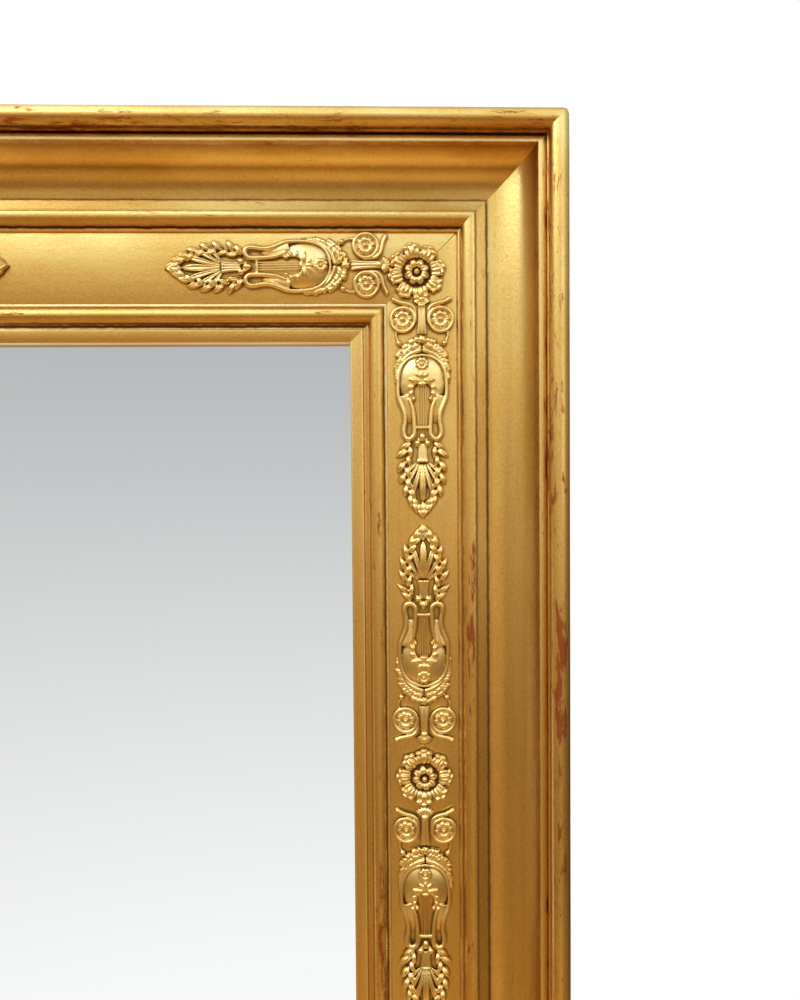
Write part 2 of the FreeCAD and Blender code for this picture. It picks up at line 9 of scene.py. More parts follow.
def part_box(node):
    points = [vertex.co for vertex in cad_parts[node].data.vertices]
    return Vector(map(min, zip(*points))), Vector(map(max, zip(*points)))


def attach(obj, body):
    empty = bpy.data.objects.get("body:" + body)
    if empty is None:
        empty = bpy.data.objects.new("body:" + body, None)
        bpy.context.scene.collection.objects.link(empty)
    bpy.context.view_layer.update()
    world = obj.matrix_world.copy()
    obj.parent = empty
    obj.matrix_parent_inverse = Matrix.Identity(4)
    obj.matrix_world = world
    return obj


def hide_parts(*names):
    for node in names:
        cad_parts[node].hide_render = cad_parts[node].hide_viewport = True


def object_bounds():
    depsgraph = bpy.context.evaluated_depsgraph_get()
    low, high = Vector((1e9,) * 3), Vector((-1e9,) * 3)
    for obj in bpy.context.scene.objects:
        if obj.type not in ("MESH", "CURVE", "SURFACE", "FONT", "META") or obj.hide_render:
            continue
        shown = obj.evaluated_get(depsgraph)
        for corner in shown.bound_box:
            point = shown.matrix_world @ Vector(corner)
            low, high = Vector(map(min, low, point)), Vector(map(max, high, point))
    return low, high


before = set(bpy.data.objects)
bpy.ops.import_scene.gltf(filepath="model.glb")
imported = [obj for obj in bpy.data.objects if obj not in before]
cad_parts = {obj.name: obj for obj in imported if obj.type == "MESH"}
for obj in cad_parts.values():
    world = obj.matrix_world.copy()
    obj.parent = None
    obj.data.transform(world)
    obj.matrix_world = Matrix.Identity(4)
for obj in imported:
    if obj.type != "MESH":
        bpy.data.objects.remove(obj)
cad_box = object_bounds()

# Gilt overmantel mirror. Metres, +Z up, front towards -Y, +X to the viewer's right.
# Across each rail, u runs outwards from the sight edge and v runs forwards from the wall.
MM = 0.001

# Places read from the frame
sight_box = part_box("sight_moulding_right")
cornice_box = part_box("cornice_right")
half_sight_width = sight_box[0].x
middle_z = (cornice_box[0].z + cornice_box[1].z) / 2
half_sight_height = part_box("sight_moulding_top")[0].z - middle_z
wall_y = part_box("carcass_rail_top")[1].y
v_carcass = wall_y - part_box("carcass_stile_right")[0].y
u_frieze = sight_box[1].x - half_sight_width
u_astragal_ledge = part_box("frieze_right")[1].x - half_sight_width
u_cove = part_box("astragal_right")[1].x - half_sight_width
rail_width = cornice_box[1].x - half_sight_width

# Sight moulding
v_sight = 34.0 * MM
u_slip = 9.0 * MM
v_slip = 35.5 * MM
v_slip_groove = 32.5 * MM
u_inner_bead = 13.4 * MM
v_inner_bead = 35.0 * MM
inner_bead_bulge = 3.8 * MM
u_inner_ledge = 24.4 * MM
v_inner_ledge = 38.6 * MM
inner_ledge_step = 0.9 * MM

# Frieze and astragal
v_frieze_low = 38.2 * MM
v_frieze_high = 41.2 * MM
frieze_crown = 1.6 * MM
ledge_foot = 0.7 * MM
ledge_bulge = 0.6 * MM
u_astragal = 78.6 * MM
v_astragal = 44.6 * MM
u_step = 89.2 * MM
v_astragal_end = 49.6 * MM
astragal_bulge = 2.3 * MM
v_step = 49.0 * MM

# Cornice
v_cove = 45.5 * MM
cove_sag = 6.0 * MM
u_top_fillet = 130.6 * MM
v_top_fillet = 68.0 * MM
u_outer_groove = 134.8 * MM
v_outer_groove = 65.5 * MM
u_outer_bead = 136.0 * MM
v_outer_bead = 75.3 * MM
bead_undercut = 41

# Hand work on the mouldings: scraped ripples in the cove, dark quirks, soft arrises, uneven planing
cove_ripple = 0.2 * MM
cove_ripple_count = 2.8
quirk_width = 0.6 * MM
quirk_depth = 0.6 * MM
arris_radius = 0.4 * MM
span_length = 4.0 * MM
frieze_span = 1.0 * MM
planing_depth = 0.5 * MM
planing_reach = 70 * MM
mitre_gap = 0.03 * MM
weld_distance = 0.01 * MM
sharp_arris = math.radians(32)
smooth_moulding = math.radians(40)
corner_radius = 9.0 * MM
corner_facets = (11.25, 22.5, 33.75, 45)

# The frieze mitres have opened a little towards the outside, each corner by its own share
frieze_mitre_opening = math.radians(0.55)
frieze_mitre_pivot = 45 * MM
mitre_share = {"top_right": 1.0, "top_left": 0.3, "bottom_left": 0.6, "bottom_right": 0.15}

# Sides as turns about +Y, with the corner at each rail's start and end
SIDES = {"top": 0, "right": 90, "bottom": 180, "left": 270}
CORNERS = {
    "top": ("top_left", "top_right"),
    "right": ("top_right", "bottom_right"),
    "bottom": ("bottom_right", "bottom_left"),
    "left": ("bottom_left", "top_left"),
}


# Small helpers for modelling by hand
def deselect():
    bpy.ops.object.select_all(action="DESELECT")


def only(piece):
    """Makes one piece the selected and active one."""
    deselect()
    piece.select_set(True)
    bpy.context.view_layer.objects.active = piece


def edit_all():
    bpy.ops.object.mode_set(mode="EDIT")
    bpy.ops.mesh.select_all(action="SELECT")


def leave_edit():
    bpy.ops.object.mode_set(mode="OBJECT")


def apply_modifier(piece, kind, **settings):
    """Adds one modifier with its settings and applies it."""
    only(piece)
    modifier = piece.modifiers.new(kind.lower(), kind)
    for name, value in settings.items():
        setattr(modifier, name, value)
    bpy.ops.object.modifier_apply(modifier=modifier.name)


def points_of(piece):
    """The piece's vertices as an array of rows."""
    flat = np.empty(len(piece.data.vertices) * 3)
    piece.data.vertices.foreach_get("co", flat)
    return flat.reshape(-1, 3)


def set_points(piece, points):
    piece.data.vertices.foreach_set("co", np.ascontiguousarray(points, dtype=np.float32).ravel())
    piece.data.update()


def cut(piece, place, facing, fill=True):
    """Cuts away what lies beyond a plane."""
    only(piece)
    edit_all()
    bpy.ops.mesh.bisect(plane_co=place, plane_no=facing, use_fill=fill, clear_outer=True, threshold=1e-7)
    leave_edit()


# Mouldings
def arc(start, end, sag, count):
    """Points after start on the arc to end that stands sag to the left of its chord."""
    run = (end[0] - start[0], end[1] - start[1])
    chord = math.hypot(*run)
    radius = (chord * chord / 4 + sag * sag) / (2 * abs(sag))
    half_angle = 2 * math.atan2(2 * abs(sag), chord)
    points = []
    for index in range(1, count + 1):
        angle = half_angle * (2 * index / count - 1)
        along = 0.5 + radius * math.sin(angle) / chord
        rise = math.copysign(radius * (math.cos(angle) - math.cos(half_angle)), sag)
        points.append((
            start[0] + along * run[0] - rise * run[1] / chord,
            start[1] + along * run[1] + rise * run[0] / chord,
        ))
    return points


def sight_outline():
    bead_start = (u_inner_bead, v_inner_bead)
    bead_end = (u_inner_ledge, v_inner_ledge - inner_ledge_step)
    return [
        (0, v_carcass), (0, v_sight), (u_slip, v_slip), (u_slip + quirk_width, v_slip_groove),
        (u_inner_bead, v_slip_groove), bead_start,
        *arc(bead_start, bead_end, inner_bead_bulge, 18),
        (u_inner_ledge, v_inner_ledge), (u_frieze, v_inner_ledge), (u_frieze, v_carcass),
    ]


def frieze_outline():
    low = (u_frieze, v_frieze_low)
    high = (u_astragal_ledge, v_frieze_high)
    return [(u_frieze, v_carcass), low, *arc(low, high, frieze_crown, 46), (u_astragal_ledge, v_carcass)]


def astragal_outline():
    bead_start = (u_astragal + quirk_width, v_astragal)
    bead_end = (u_step, v_astragal_end)
    ledge_start = (u_astragal_ledge, v_frieze_high + ledge_foot)
    ledge_end = (u_astragal, v_astragal)
    return [
        (u_astragal_ledge, v_carcass), ledge_start, *arc(ledge_start, ledge_end, ledge_bulge, 6),
        (u_astragal, v_astragal - quirk_depth), (bead_start[0], v_astragal - quirk_depth), bead_start,
        *arc(bead_start, bead_end, astragal_bulge, 18),
        (u_step, v_step), (u_cove, v_step), (u_cove, v_carcass),
    ]


def cornice_outline():
    low = (u_cove, v_cove)
    high = (u_top_fillet, v_top_fillet)
    hollow = []
    stretch = arc(low, high, -cove_sag, 48)
    for index, (u, v) in enumerate(stretch[:-1]):
        share = (index + 1) / len(stretch)
        hollow.append((u, v + cove_ripple * math.sin(2 * math.pi * cove_ripple_count * share)))
    bead_radius = (rail_width - u_outer_bead) / 2
    bead_start = (u_outer_bead, v_outer_bead)
    bead_end = (rail_width, v_outer_bead)
    under_bead = math.radians(bead_undercut)
    bead_foot = (
        u_outer_bead + bead_radius * (1 - math.cos(under_bead)),
        v_outer_bead - bead_radius * math.sin(under_bead),
    )
    turn_under = bead_radius * (1 - math.cos(under_bead / 2))
    return [
        (u_cove, v_carcass), low, *hollow, high,
        (u_outer_groove, v_top_fillet), (u_outer_groove, v_outer_groove), (u_outer_bead, v_outer_groove),
        (u_outer_bead, bead_foot[1]), bead_foot, *arc(bead_foot, bead_start, turn_under, 6),
        *arc(bead_start, bead_end, bead_radius, 22), (rail_width, v_carcass),
    ]


def along_and_out(side):
    """Half the sight edge along this side, and its distance from the opening's centre."""
    if side in ("top", "bottom"):
        return half_sight_width, half_sight_height
    return half_sight_height, half_sight_width


def to_side(side):
    """Turn from the top rail, about the opening's centre, to another side."""
    return Matrix.Translation((0, 0, middle_z)) @ Matrix.Rotation(math.radians(SIDES[side]), 4, "Y")


def planing_texture():
    texture = bpy.data.textures.new("planing", "CLOUDS")
    texture.noise_scale = planing_reach
    texture.noise_depth = 1
    texture.noise_basis = "IMPROVED_PERLIN"
    return texture


def ease_corner(length, end, half_length, out):
    """Rounds the outer corner at one end of a length, as far as its mitre."""
    middle_along = half_length + rail_width - corner_radius
    middle_out = out + rail_width - corner_radius
    for degrees in corner_facets:
        lean = math.radians(degrees)
        along = end * (middle_along + corner_radius * math.sin(lean))
        place = (along, 0, middle_out + corner_radius * math.cos(lean))
        cut(length, place, (end * math.sin(lean), 0, math.cos(lean)))


def moulding(name, outline, side, span, opening, planing):
    """One mitred length: its section drawn as a ring, pulled into a short span and repeated along."""
    half_length, out = along_and_out(side)
    reach = half_length + rail_width + span
    deselect()
    bpy.ops.mesh.primitive_circle_add(vertices=len(outline), radius=rail_width)
    length = bpy.context.object
    length.name = name
    length.data.name = name
    for vertex, (u, v) in zip(length.data.vertices, outline):
        vertex.co = (-reach, wall_y - v, out + u)
    edit_all()
    bpy.ops.mesh.extrude_region_move(TRANSFORM_OT_translate={"value": (span, 0, 0)})
    bpy.ops.mesh.select_all(action="SELECT")
    bpy.ops.mesh.normals_make_consistent(inside=False)
    bpy.ops.mesh.select_all(action="DESELECT")
    bpy.ops.mesh.edges_select_sharp(sharpness=sharp_arris)
    bpy.ops.mesh.bevel(offset=arris_radius, segments=3, affect="EDGES", clamp_overlap=True)
    leave_edit()
    apply_modifier(
        length, "ARRAY", count=math.ceil(2 * reach / span),
        use_merge_vertices=True, merge_threshold=weld_distance,
    )
    for end, corner in zip((-1, 1), CORNERS[side]):
        swing = end * opening * mitre_share[corner]
        facing = Matrix.Rotation(-swing, 3, "Y") @ Vector((end, 0, -1))
        pivot = frieze_mitre_pivot if opening else 0
        cut(length, (end * (half_length + pivot - mitre_gap), 0, out + pivot), facing)
        if outline[-1][0] == rail_width:
            ease_corner(length, end, half_length, out)
    length.data.transform(to_side(side))
    edit_all()
    bpy.ops.mesh.normals_make_consistent(inside=False)
    leave_edit()
    apply_modifier(
        length, "DISPLACE", texture=planing, texture_coords="LOCAL", direction="Y",
        strength=-planing_depth, mid_level=1.0,
    )
    bpy.ops.object.shade_smooth_by_angle(angle=smooth_moulding)
    return length


# Pressed ornament. Built flat: x along the arm from the rosette's centre, y across it, z up from the frieze.
# Sizes and places here are in millimetres, and the finished flat piece is brought to metres.
fuse_voxel = 0.34
root_depth = 1.2
arm_triangles = 56000
rosette_triangles = 30000
# Reaches of the softened heights that set painted shade and grime in the ornament's hollows and round it on
# the frieze
near_reach = 1.3
wide_reach = 3.2
near_share = 0.65
random.seed(7)


def blank_leaf(point, hollow, hollow_width):
    """Leaf one long, wide and high from the origin along +X: a ball drawn to a tip and hollowed."""
    deselect()
    bpy.ops.mesh.primitive_uv_sphere_add(
        segments=24, ring_count=16, radius=0.5, location=(0.5, 0, 0), rotation=(0, math.pi / 2, 0)
    )
    bpy.ops.object.transform_apply()
    leaf = bpy.context.object
    rows = points_of(leaf)
    rows[:, 1] *= 1 - point * rows[:, 0] ** 2
    dip = np.exp(-(rows[:, 1] / hollow_width) ** 2) * (rows[:, 2] > 0)
    rows[:, 2] = 2 * rows[:, 2] * (1 - hollow * dip)
    set_points(leaf, rows)
    return leaf


def blank_spoon(hollow):
    """Palm leaf one long: slender at the root, widest near the far end, hollow down its middle."""
    leaf = blank_leaf(point=0, hollow=hollow, hollow_width=0.27)
    rows = points_of(leaf)
    share = rows[:, 0]
    rows[:, 1] *= 0.35 + 1.1 * share ** 1.4 - 0.5 * share ** 6
    rows[:, 2] *= 0.6 + 0.4 * share
    set_points(leaf, rows)
    return leaf


def blank_ball():
    """Ball of radius one."""
    deselect()
    bpy.ops.mesh.primitive_uv_sphere_add(segments=18, ring_count=12, radius=1)
    return bpy.context.object


class Relief:
    """Pieces of one pressed ornament, gathered before they are fused."""

    def __init__(self, blanks):
        self.blanks = blanks
        self.pieces = []

    def keep(self, mesh):
        piece = bpy.data.objects.new("relief", mesh)
        bpy.context.scene.collection.objects.link(piece)
        self.pieces.append(piece)

    def copy(self, blank, place):
        mesh = self.blanks[blank].data.copy()
        mesh.transform(place)
        self.keep(mesh)

    def leaf(self, x, y, degrees, length, width, height, blank="leaf", lift=0.0, base=0.0):
        """Leaf from a base point, pointing some degrees from +X, its tip lifted by some degrees."""
        turn = Matrix.Rotation(math.radians(degrees), 4, "Z") @ Matrix.Rotation(-math.radians(lift), 4, "Y")
        size = Matrix.Diagonal((length, width, height, 1))
        self.copy(blank, Matrix.Translation((x, y, base)) @ turn @ size)

    def ball(self, x, y, z, along, across=None, high=None, degrees=0.0):
        size = Matrix.Diagonal((along, across or along, high or along, 1))
        turn = Matrix.Rotation(math.radians(degrees), 4, "Z")
        self.copy("ball", Matrix.Translation((x, y, z)) @ turn @ size)

    def tube(self, points, flatten=1.0, closed=False):
        """Smooth round band through (x, y, z, radius) points, pressed towards the frieze by flatten."""
        curve = bpy.data.curves.new("band", "CURVE")
        curve.dimensions = "3D"
        curve.bevel_depth = 1.0
        curve.bevel_resolution = 3
        curve.use_fill_caps = True
        spline = curve.splines.new("NURBS")
        spline.points.add(len(points) - 1)
        for point, (x, y, z, radius) in zip(spline.points, points):
            point.co = (x, y, z / flatten, 1)
            point.radius = radius
        spline.order_u = 3
        spline.use_endpoint_u = not closed
        spline.use_cyclic_u = closed
        spline.resolution_u = 6
        holder = bpy.data.objects.new("band", curve)
        bpy.context.scene.collection.objects.link(holder)
        bpy.context.view_layer.update()
        mesh = bpy.data.meshes.new_from_object(holder.evaluated_get(bpy.context.evaluated_depsgraph_get()))
        bpy.data.objects.remove(holder)
        mesh.transform(Matrix.Diagonal((1, 1, flatten, 1)))
        self.keep(mesh)

    def ring(self, x, y, z, radius, wire, flatten=1.0):
        points = []
        for index in range(12):
            angle = 2 * math.pi * index / 12
            points.append((x + radius * math.cos(angle), y + radius * math.sin(angle), z, wire))
        self.tube(points, flatten, closed=True)

    def flower(self, x, y, z, radius, count, petal_width, height, button, turn=0.0):
        """Hollow petals about a button."""
        inner = 0.26 * radius
        for index in range(count):
            degrees = turn + 360 * index / count
            angle = math.radians(degrees)
            self.leaf(
                x + inner * math.cos(angle), y + inner * math.sin(angle), degrees,
                radius - inner, petal_width, height, blank="petal", base=z,
            )
        self.ball(x, y, z + 0.6 * height, button, button, 0.6 * button + 0.3 * height)

    def fused(self, name):
        """One closed skin over all the pieces, softened as by gesso and cut off flat below the frieze."""
        deselect()
        for piece in self.pieces:
            piece.select_set(True)
        bpy.context.view_layer.objects.active = self.pieces[0]
        bpy.ops.object.join()
        relief = bpy.context.object
        relief.name = name
        relief.data.name = name
        apply_modifier(relief, "REMESH", mode="VOXEL", voxel_size=fuse_voxel)
        apply_modifier(relief, "SMOOTH", factor=0.5, iterations=1)
        cut(relief, (0, 0, -root_depth), (0, 0, -1))
        self.pieces = []
        return relief


class Surroundings:
    """How high flat ornament stands round any point: its height map, softened over a short reach."""

    cell = 0.5
    margin = 12.0

    def __init__(self, relief, reach):
        rows = points_of(relief)
        self.low = rows[:, :2].min(axis=0) - self.margin
        columns = np.ceil((rows[:, :2].max(axis=0) + self.margin - self.low) / self.cell).astype(int) + 1
        heights = np.zeros(columns)
        place = ((rows[:, :2] - self.low) / self.cell).astype(int)
        np.maximum.at(heights, (place[:, 0], place[:, 1]), rows[:, 2])
        steps = np.arange(-4 * reach, 4 * reach + self.cell, self.cell)
        weights = np.exp(-0.5 * (steps / reach) ** 2)
        weights /= weights.sum()
        for axis in (0, 1):
            heights = np.apply_along_axis(np.convolve, axis, heights, weights, "same")
        self.heights = heights

    def at(self, rows):
        """Softened height over each row's x and y, nought away from the ornament."""
        place = np.rint((rows[:, :2] - self.low) / self.cell).astype(int)
        inside = ((place >= 0) & (place < self.heights.shape)).all(axis=1)
        found = np.zeros(len(rows))
        found[inside] = self.heights[place[inside, 0], place[inside, 1]]
        return found


def mark(piece, name, values):
    """Keeps one number per vertex for the material to read."""
    attribute = piece.data.attributes.new(name, "FLOAT", "POINT")
    attribute.data.foreach_set("value", np.ascontiguousarray(values, dtype=np.float32))


def finished(relief, triangles):
    """Thins the mesh, marks its hollows for painted shade and grime and brings it to metres. Also gives its
    near surroundings.
    """
    near = Surroundings(relief, near_reach)
    wide = Surroundings(relief, wide_reach)
    relief.data.calc_loop_triangles()
    share = triangles / len(relief.data.loop_triangles)
    if share < 1:
        apply_modifier(relief, "DECIMATE", ratio=share, use_collapse_triangulate=True)
    rows = points_of(relief)
    around = near_share * near.at(rows) + (1 - near_share) * wide.at(rows)
    # How deep each point lies among its surroundings: painted shade and grime in the ornament's hollows
    mark(relief, "hollow", around - rows[:, 2])
    relief.data.transform(Matrix.Diagonal((MM, MM, MM, 1)))
    return relief, near


# Stations along an arm
x_fan_edge = 20.6
x_fan = 28.8
x_flower = 39.0
y_flower = 13.6
ring_radius = 8.8
x_stem_end = 49.5
x_flower_ball = 53.4
x_lyre_base = 63.6
x_lyre_middle = 81.5
lyre_half_width = 16.8
x_hole = 89.8
hole_radius = 6.3
x_crossbar = 116.0
x_volute = 127.2
x_calyx = 139.5
x_palm_tip = 169.5
x_wreath_tip = 179.5


def fan_and_scrolls(relief):
    """Shell next to the rosette, fluted stem and the two ringed flowers with their tendrils."""
    for degrees in (-60, -40, -20, 0, 20, 40, 60):
        reach = (x_fan - x_fan_edge) * (1.0 - 0.0012 * abs(degrees))
        relief.leaf(x_fan, 0, 180 + degrees, reach, 2.5, 4.4, blank="petal")
    relief.ball(x_fan + 0.4, 0, 1.6, 1.9, 3.0, 2.8)
    for y, radius in ((-1.9, 1.1), (0, 1.25), (1.9, 1.1)):
        relief.tube([
            (x_fan, 0.8 * y, 2.2, radius), (x_fan + 7, 0.85 * y, 2.5, radius),
            (x_fan + 14, 0.95 * y, 2.5, radius), (x_stem_end, 1.5 * y, 2.1, radius),
        ])
    for side in (-1, 1):
        y = side * y_flower
        relief.ring(x_flower, y, 2.3, ring_radius, 1.3)
        relief.ball(x_flower, y, 0, ring_radius + 1, ring_radius + 1, 2.9)
        relief.flower(x_flower, y, 1.1, 7.0, 8, 4.3, 3.5, 1.5, turn=11)
        relief.tube([
            (x_flower + 2, side * 4.4, 1.8, 1.1), (34.5, side * 4.7, 2.0, 1.3), (30.8, side * 5.4, 2.4, 1.4),
            (28.2, side * 8.6, 2.6, 1.4), (27.3, side * 12.6, 2.6, 1.45), (26.6, side * 16.6, 2.5, 1.6),
            (24.4, side * 20.2, 2.2, 1.8),
        ])
        relief.ball(24.6, side * 20.0, 1.8, 1.8, 2.0, 2.4)
        relief.tube([
            (46.4, side * 18.4, 1.8, 1.1), (50.2, side * 18.9, 2.0, 1.0), (53.2, side * 17.8, 2.0, 0.9),
            (55.6, side * 16.6, 1.9, 0.9),
        ])
        relief.ball(55.8, side * 16.4, 1.8, 2.1, 2.0, 2.2)


def crescent(degrees, offset):
    """Point a little outside the lyre's round base, by the angle from the axis."""
    angle = math.radians(180 - degrees)
    radius = lyre_half_width + offset
    return x_lyre_middle + 1.06 * radius * math.cos(angle), radius * math.sin(angle)


def garland(relief):
    """Smooth ribbon and leafy crescent that hug the lyre's base, with a flower ball at the middle."""
    stations = (2, 18, 36, 54, 72, 86, 95)
    leaf_steps = 16
    leaf_end = 90
    for side in (-1, 1):
        ribbon = []
        backing = []
        for degrees in stations:
            share = degrees / stations[-1]
            x, y = crescent(side * degrees, 2.8 - 2.0 * share)
            ribbon.append((x, y, 2.6 - 0.8 * share, 1.7 - 1.0 * share))
            x, y = crescent(side * degrees, 5.2 - 4.6 * share)
            backing.append((x, y, 0.6, 4.8 - 3.7 * share))
        relief.tube(ribbon)
        relief.tube(backing, flatten=0.45)
        for step in range(leaf_steps):
            share = (step + 0.5) / leaf_steps
            degrees = side * leaf_end * share
            heading = side * 90 - degrees
            for row in range(2 if share < 0.5 else 1):
                x, y = crescent(degrees, 4.9 - 4.5 * share + 3.4 * row * (1 - share))
                tilt = side * (32 + 12 * row - 18 * share + random.uniform(-13, 13))
                length = random.uniform(6.0, 7.0) * (1 - 0.3 * share)
                width = random.uniform(3.6, 4.4)
                height = 4.0 - 1.0 * share + random.uniform(-0.3, 0.4)
                relief.leaf(x, y, heading + tilt, length, width, height, base=0.3, lift=3)
    relief.ball(x_flower_ball, 0, 2.0, 2.8, 2.8, 2.8)
    for degrees in range(15, 375, 60):
        angle = math.radians(degrees)
        relief.ball(x_flower_ball + 2.0 * math.cos(angle), 2.0 * math.sin(angle), 3.4, 1.0)


def lyre_body(relief):
    """Round smooth body with a horseshoe opening, cut out before it joins the rest."""
    deselect()
    bpy.ops.mesh.primitive_uv_sphere_add(segments=48, ring_count=24, radius=1, location=(x_lyre_middle, 0, 0))
    body = bpy.context.object
    body.scale = (x_lyre_middle - x_lyre_base, lyre_half_width, 5.0)
    bpy.ops.object.transform_apply()
    rows = points_of(body)
    beyond = np.clip(rows[:, 0] - x_lyre_middle, 0, None)
    rows[:, 0] += 0.12 * beyond
    rows[:, 1] *= 1 + 0.012 * beyond
    set_points(body, rows)
    deselect()
    bpy.ops.mesh.primitive_cylinder_add(vertices=40, radius=hole_radius, depth=14, location=(x_hole, 0, 0))
    hole = bpy.context.object
    bpy.ops.object.transform_apply()
    rows = points_of(hole)
    rows[:, 0] = np.where(rows[:, 0] > x_hole, rows[:, 0] + 9, rows[:, 0])
    set_points(hole, rows)
    apply_modifier(body, "BOOLEAN", operation="DIFFERENCE", object=hole, solver="EXACT")
    bpy.data.objects.remove(hole)
    relief.keep(body.data.copy())
    bpy.data.objects.remove(body)


def lyre(relief):
    """Body, rim, swan-neck arms that turn back in loops, bridge, daisy and crossbar."""
    lyre_body(relief)
    rim = hole_radius + 0.6
    for side in (-1, 1):
        relief.tube([
            (x_lyre_base + 0.6, 0, 2.4, 1.0), (x_lyre_base + 1.5, side * 7.5, 2.4, 1.0),
            (x_lyre_base + 7, side * 14.0, 2.5, 1.1), (78, side * 16.9, 2.6, 1.2),
            (88, side * 17.6, 2.8, 1.35), (95, side * 17.2, 3.0, 1.5), (101, side * 14.6, 3.1, 1.6),
            (106.5, side * 12.5, 3.2, 1.65), (112.5, side * 12.2, 3.3, 1.7), (118, side * 13.6, 3.5, 1.75),
            (123.2, side * 13.0, 3.7, 1.8), (124.6, side * 9.3, 3.8, 1.8), (122.0, side * 5.8, 3.7, 1.75),
            (117, side * 5.7, 3.5, 1.7), (111, side * 6.0, 3.3, 1.65), (105, side * 6.4, 3.1, 1.6),
            (99.5, side * 7.7, 3.0, 1.5), (95.5, side * 9.7, 2.8, 1.4),
        ])
        relief.tube([
            (93, side * 12.8, 2.0, 4.2), (100, side * 11.2, 2.0, 3.6), (107, side * 9.5, 1.8, 2.5),
            (112, side * 9.2, 1.3, 1.9),
        ], flatten=0.5)
        for degrees, length in ((150, 3.8), (118, 4.2), (86, 4.4), (56, 3.8)):
            angle = math.radians(degrees)
            x = x_hole + rim * math.cos(angle)
            y = side * rim * math.sin(angle)
            relief.leaf(x, y, side * (degrees - 48), length, 2.6, 2.2, base=3.2)
        relief.leaf(83.0, side * 1.0, side * 98, 8.4, 3.4, 2.0, base=4.3)
        relief.leaf(80.5, side * 0.8, side * 132, 5.2, 2.6, 1.7, base=4.3)
    relief.ball(85.0, 0, 3.6, 1.5, 3.4, 2.2)
    relief.ball(78.4, 0, 4.6, 2.8, 1.3, 1.3)
    relief.flower(70.8, 0, 3.5, 5.0, 8, 3.0, 2.3, 1.1, turn=22)
    relief.tube([
        (x_crossbar, -5.4, 3.4, 1.15), (x_crossbar, -2, 3.7, 1.15), (x_crossbar, 2, 3.7, 1.15),
        (x_crossbar, 5.4, 3.4, 1.15),
    ])


def palmette(relief):
    """Pendant, two volutes and a fluted cup, from which seven palm leaves spread."""
    relief.ball(x_volute - 4.4, 0, 2.2, 3.4, 2.5, 2.4)
    for side in (-1, 1):
        relief.ball(x_volute, side * 3.7, 2.4, 2.5, 2.4, 2.6)
        relief.tube([
            (x_volute - 5.8, side * 1.2, 2.2, 0.9), (x_volute - 2.6, side * 3.0, 2.6, 0.9),
            (x_volute + 2.6, side * 5.0, 2.6, 0.9),
        ])
    for y in (-1.5, -0.5, 0.5, 1.5):
        relief.tube([
            (x_volute + 0.5, 1.6 * y, 2.5, 0.9), (x_volute + 6, 1.3 * y, 3.0, 0.9),
            (x_calyx, 2.0 * y, 3.1, 1.1),
        ])
        relief.ball(x_calyx + 0.4, 2.1 * y, 3.6 - 0.3 * abs(y), 1.2, 1.2, 1.4)
    length = x_palm_tip - x_calyx
    fan = ((0, 1.0, 6.8, 7.0), (15, 0.92, 5.0, 6.4), (31, 0.77, 4.6, 5.8), (50, 0.56, 4.4, 5.0))
    for degrees, share, width, height in fan:
        for side in (-1, 1) if degrees else (1,):
            root = side * 0.045 * degrees
            relief.leaf(x_calyx, root, side * degrees, share * length, width, height, blank="spoon")


def wreath(relief):
    """Two laurel branches that rise from the volutes and meet at the arm's tip."""
    stations = 15
    tip_leaf = 11.0
    for side in (-1, 1):
        branch = [
            (x_volute - 1, side * 7.6), (132, side * 10.6), (141, side * 12.4), (150, side * 12.6),
            (159, side * 11.0), (166, side * 8.2), (171, side * 5.2), (175, side * 1.8),
        ]
        relief.tube([(x, y, 0.8, 0.9) for x, y in branch])
        for step in range(stations):
            place = (len(branch) - 1.5) * step / (stations - 1)
            near = int(place)
            share = place - near
            (x_start, y_start), (x_end, y_end) = branch[near:near + 2]
            x = x_start * (1 - share) + x_end * share
            y = y_start * (1 - share) + y_end * share
            heading = math.degrees(math.atan2(y_end - y_start, x_end - x_start))
            grow = 1 - 0.15 * step / stations
            open_by = 1 - step / stations
            outer = (10 + 18 * open_by, 10.8, 4.9)
            inner = (-14 - 16 * open_by, 9.4, 4.5)
            swing, length, height = outer if step % 2 == 0 else inner
            degrees = heading + side * swing + random.uniform(-5, 5)
            length = grow * length * random.uniform(0.94, 1.06)
            width = random.uniform(4.8, 5.4)
            height = height + random.uniform(-0.3, 0.4)
            relief.leaf(x, y, degrees, length, width, height, lift=4)
    relief.leaf(x_wreath_tip - tip_leaf, 0, 0, tip_leaf, 5.0, 5.0)


def strings(arm):
    """Four thin strings over the opening, kept as their own shells so that they stay apart."""
    band = Relief({})
    for y in (-2.6, -0.9, 0.9, 2.6):
        band.tube([(85, 0.9 * y, 3.6, 0.42), (100, y, 3.0, 0.42), (x_crossbar, y, 3.6, 0.42)])
    deselect()
    for piece in band.pieces:
        piece.data.transform(Matrix.Diagonal((MM, MM, MM, 1)))
        piece.select_set(True)
    bpy.context.view_layer.objects.active = arm
    arm.select_set(True)
    bpy.ops.object.join()


def lyre_arm(blanks):
    relief = Relief(blanks)
    fan_and_scrolls(relief)
    garland(relief)
    lyre(relief)
    palmette(relief)
    wreath(relief)
    arm, near = finished(relief.fused("lyre_arm"), arm_triangles)
    strings(arm)
    return arm, near


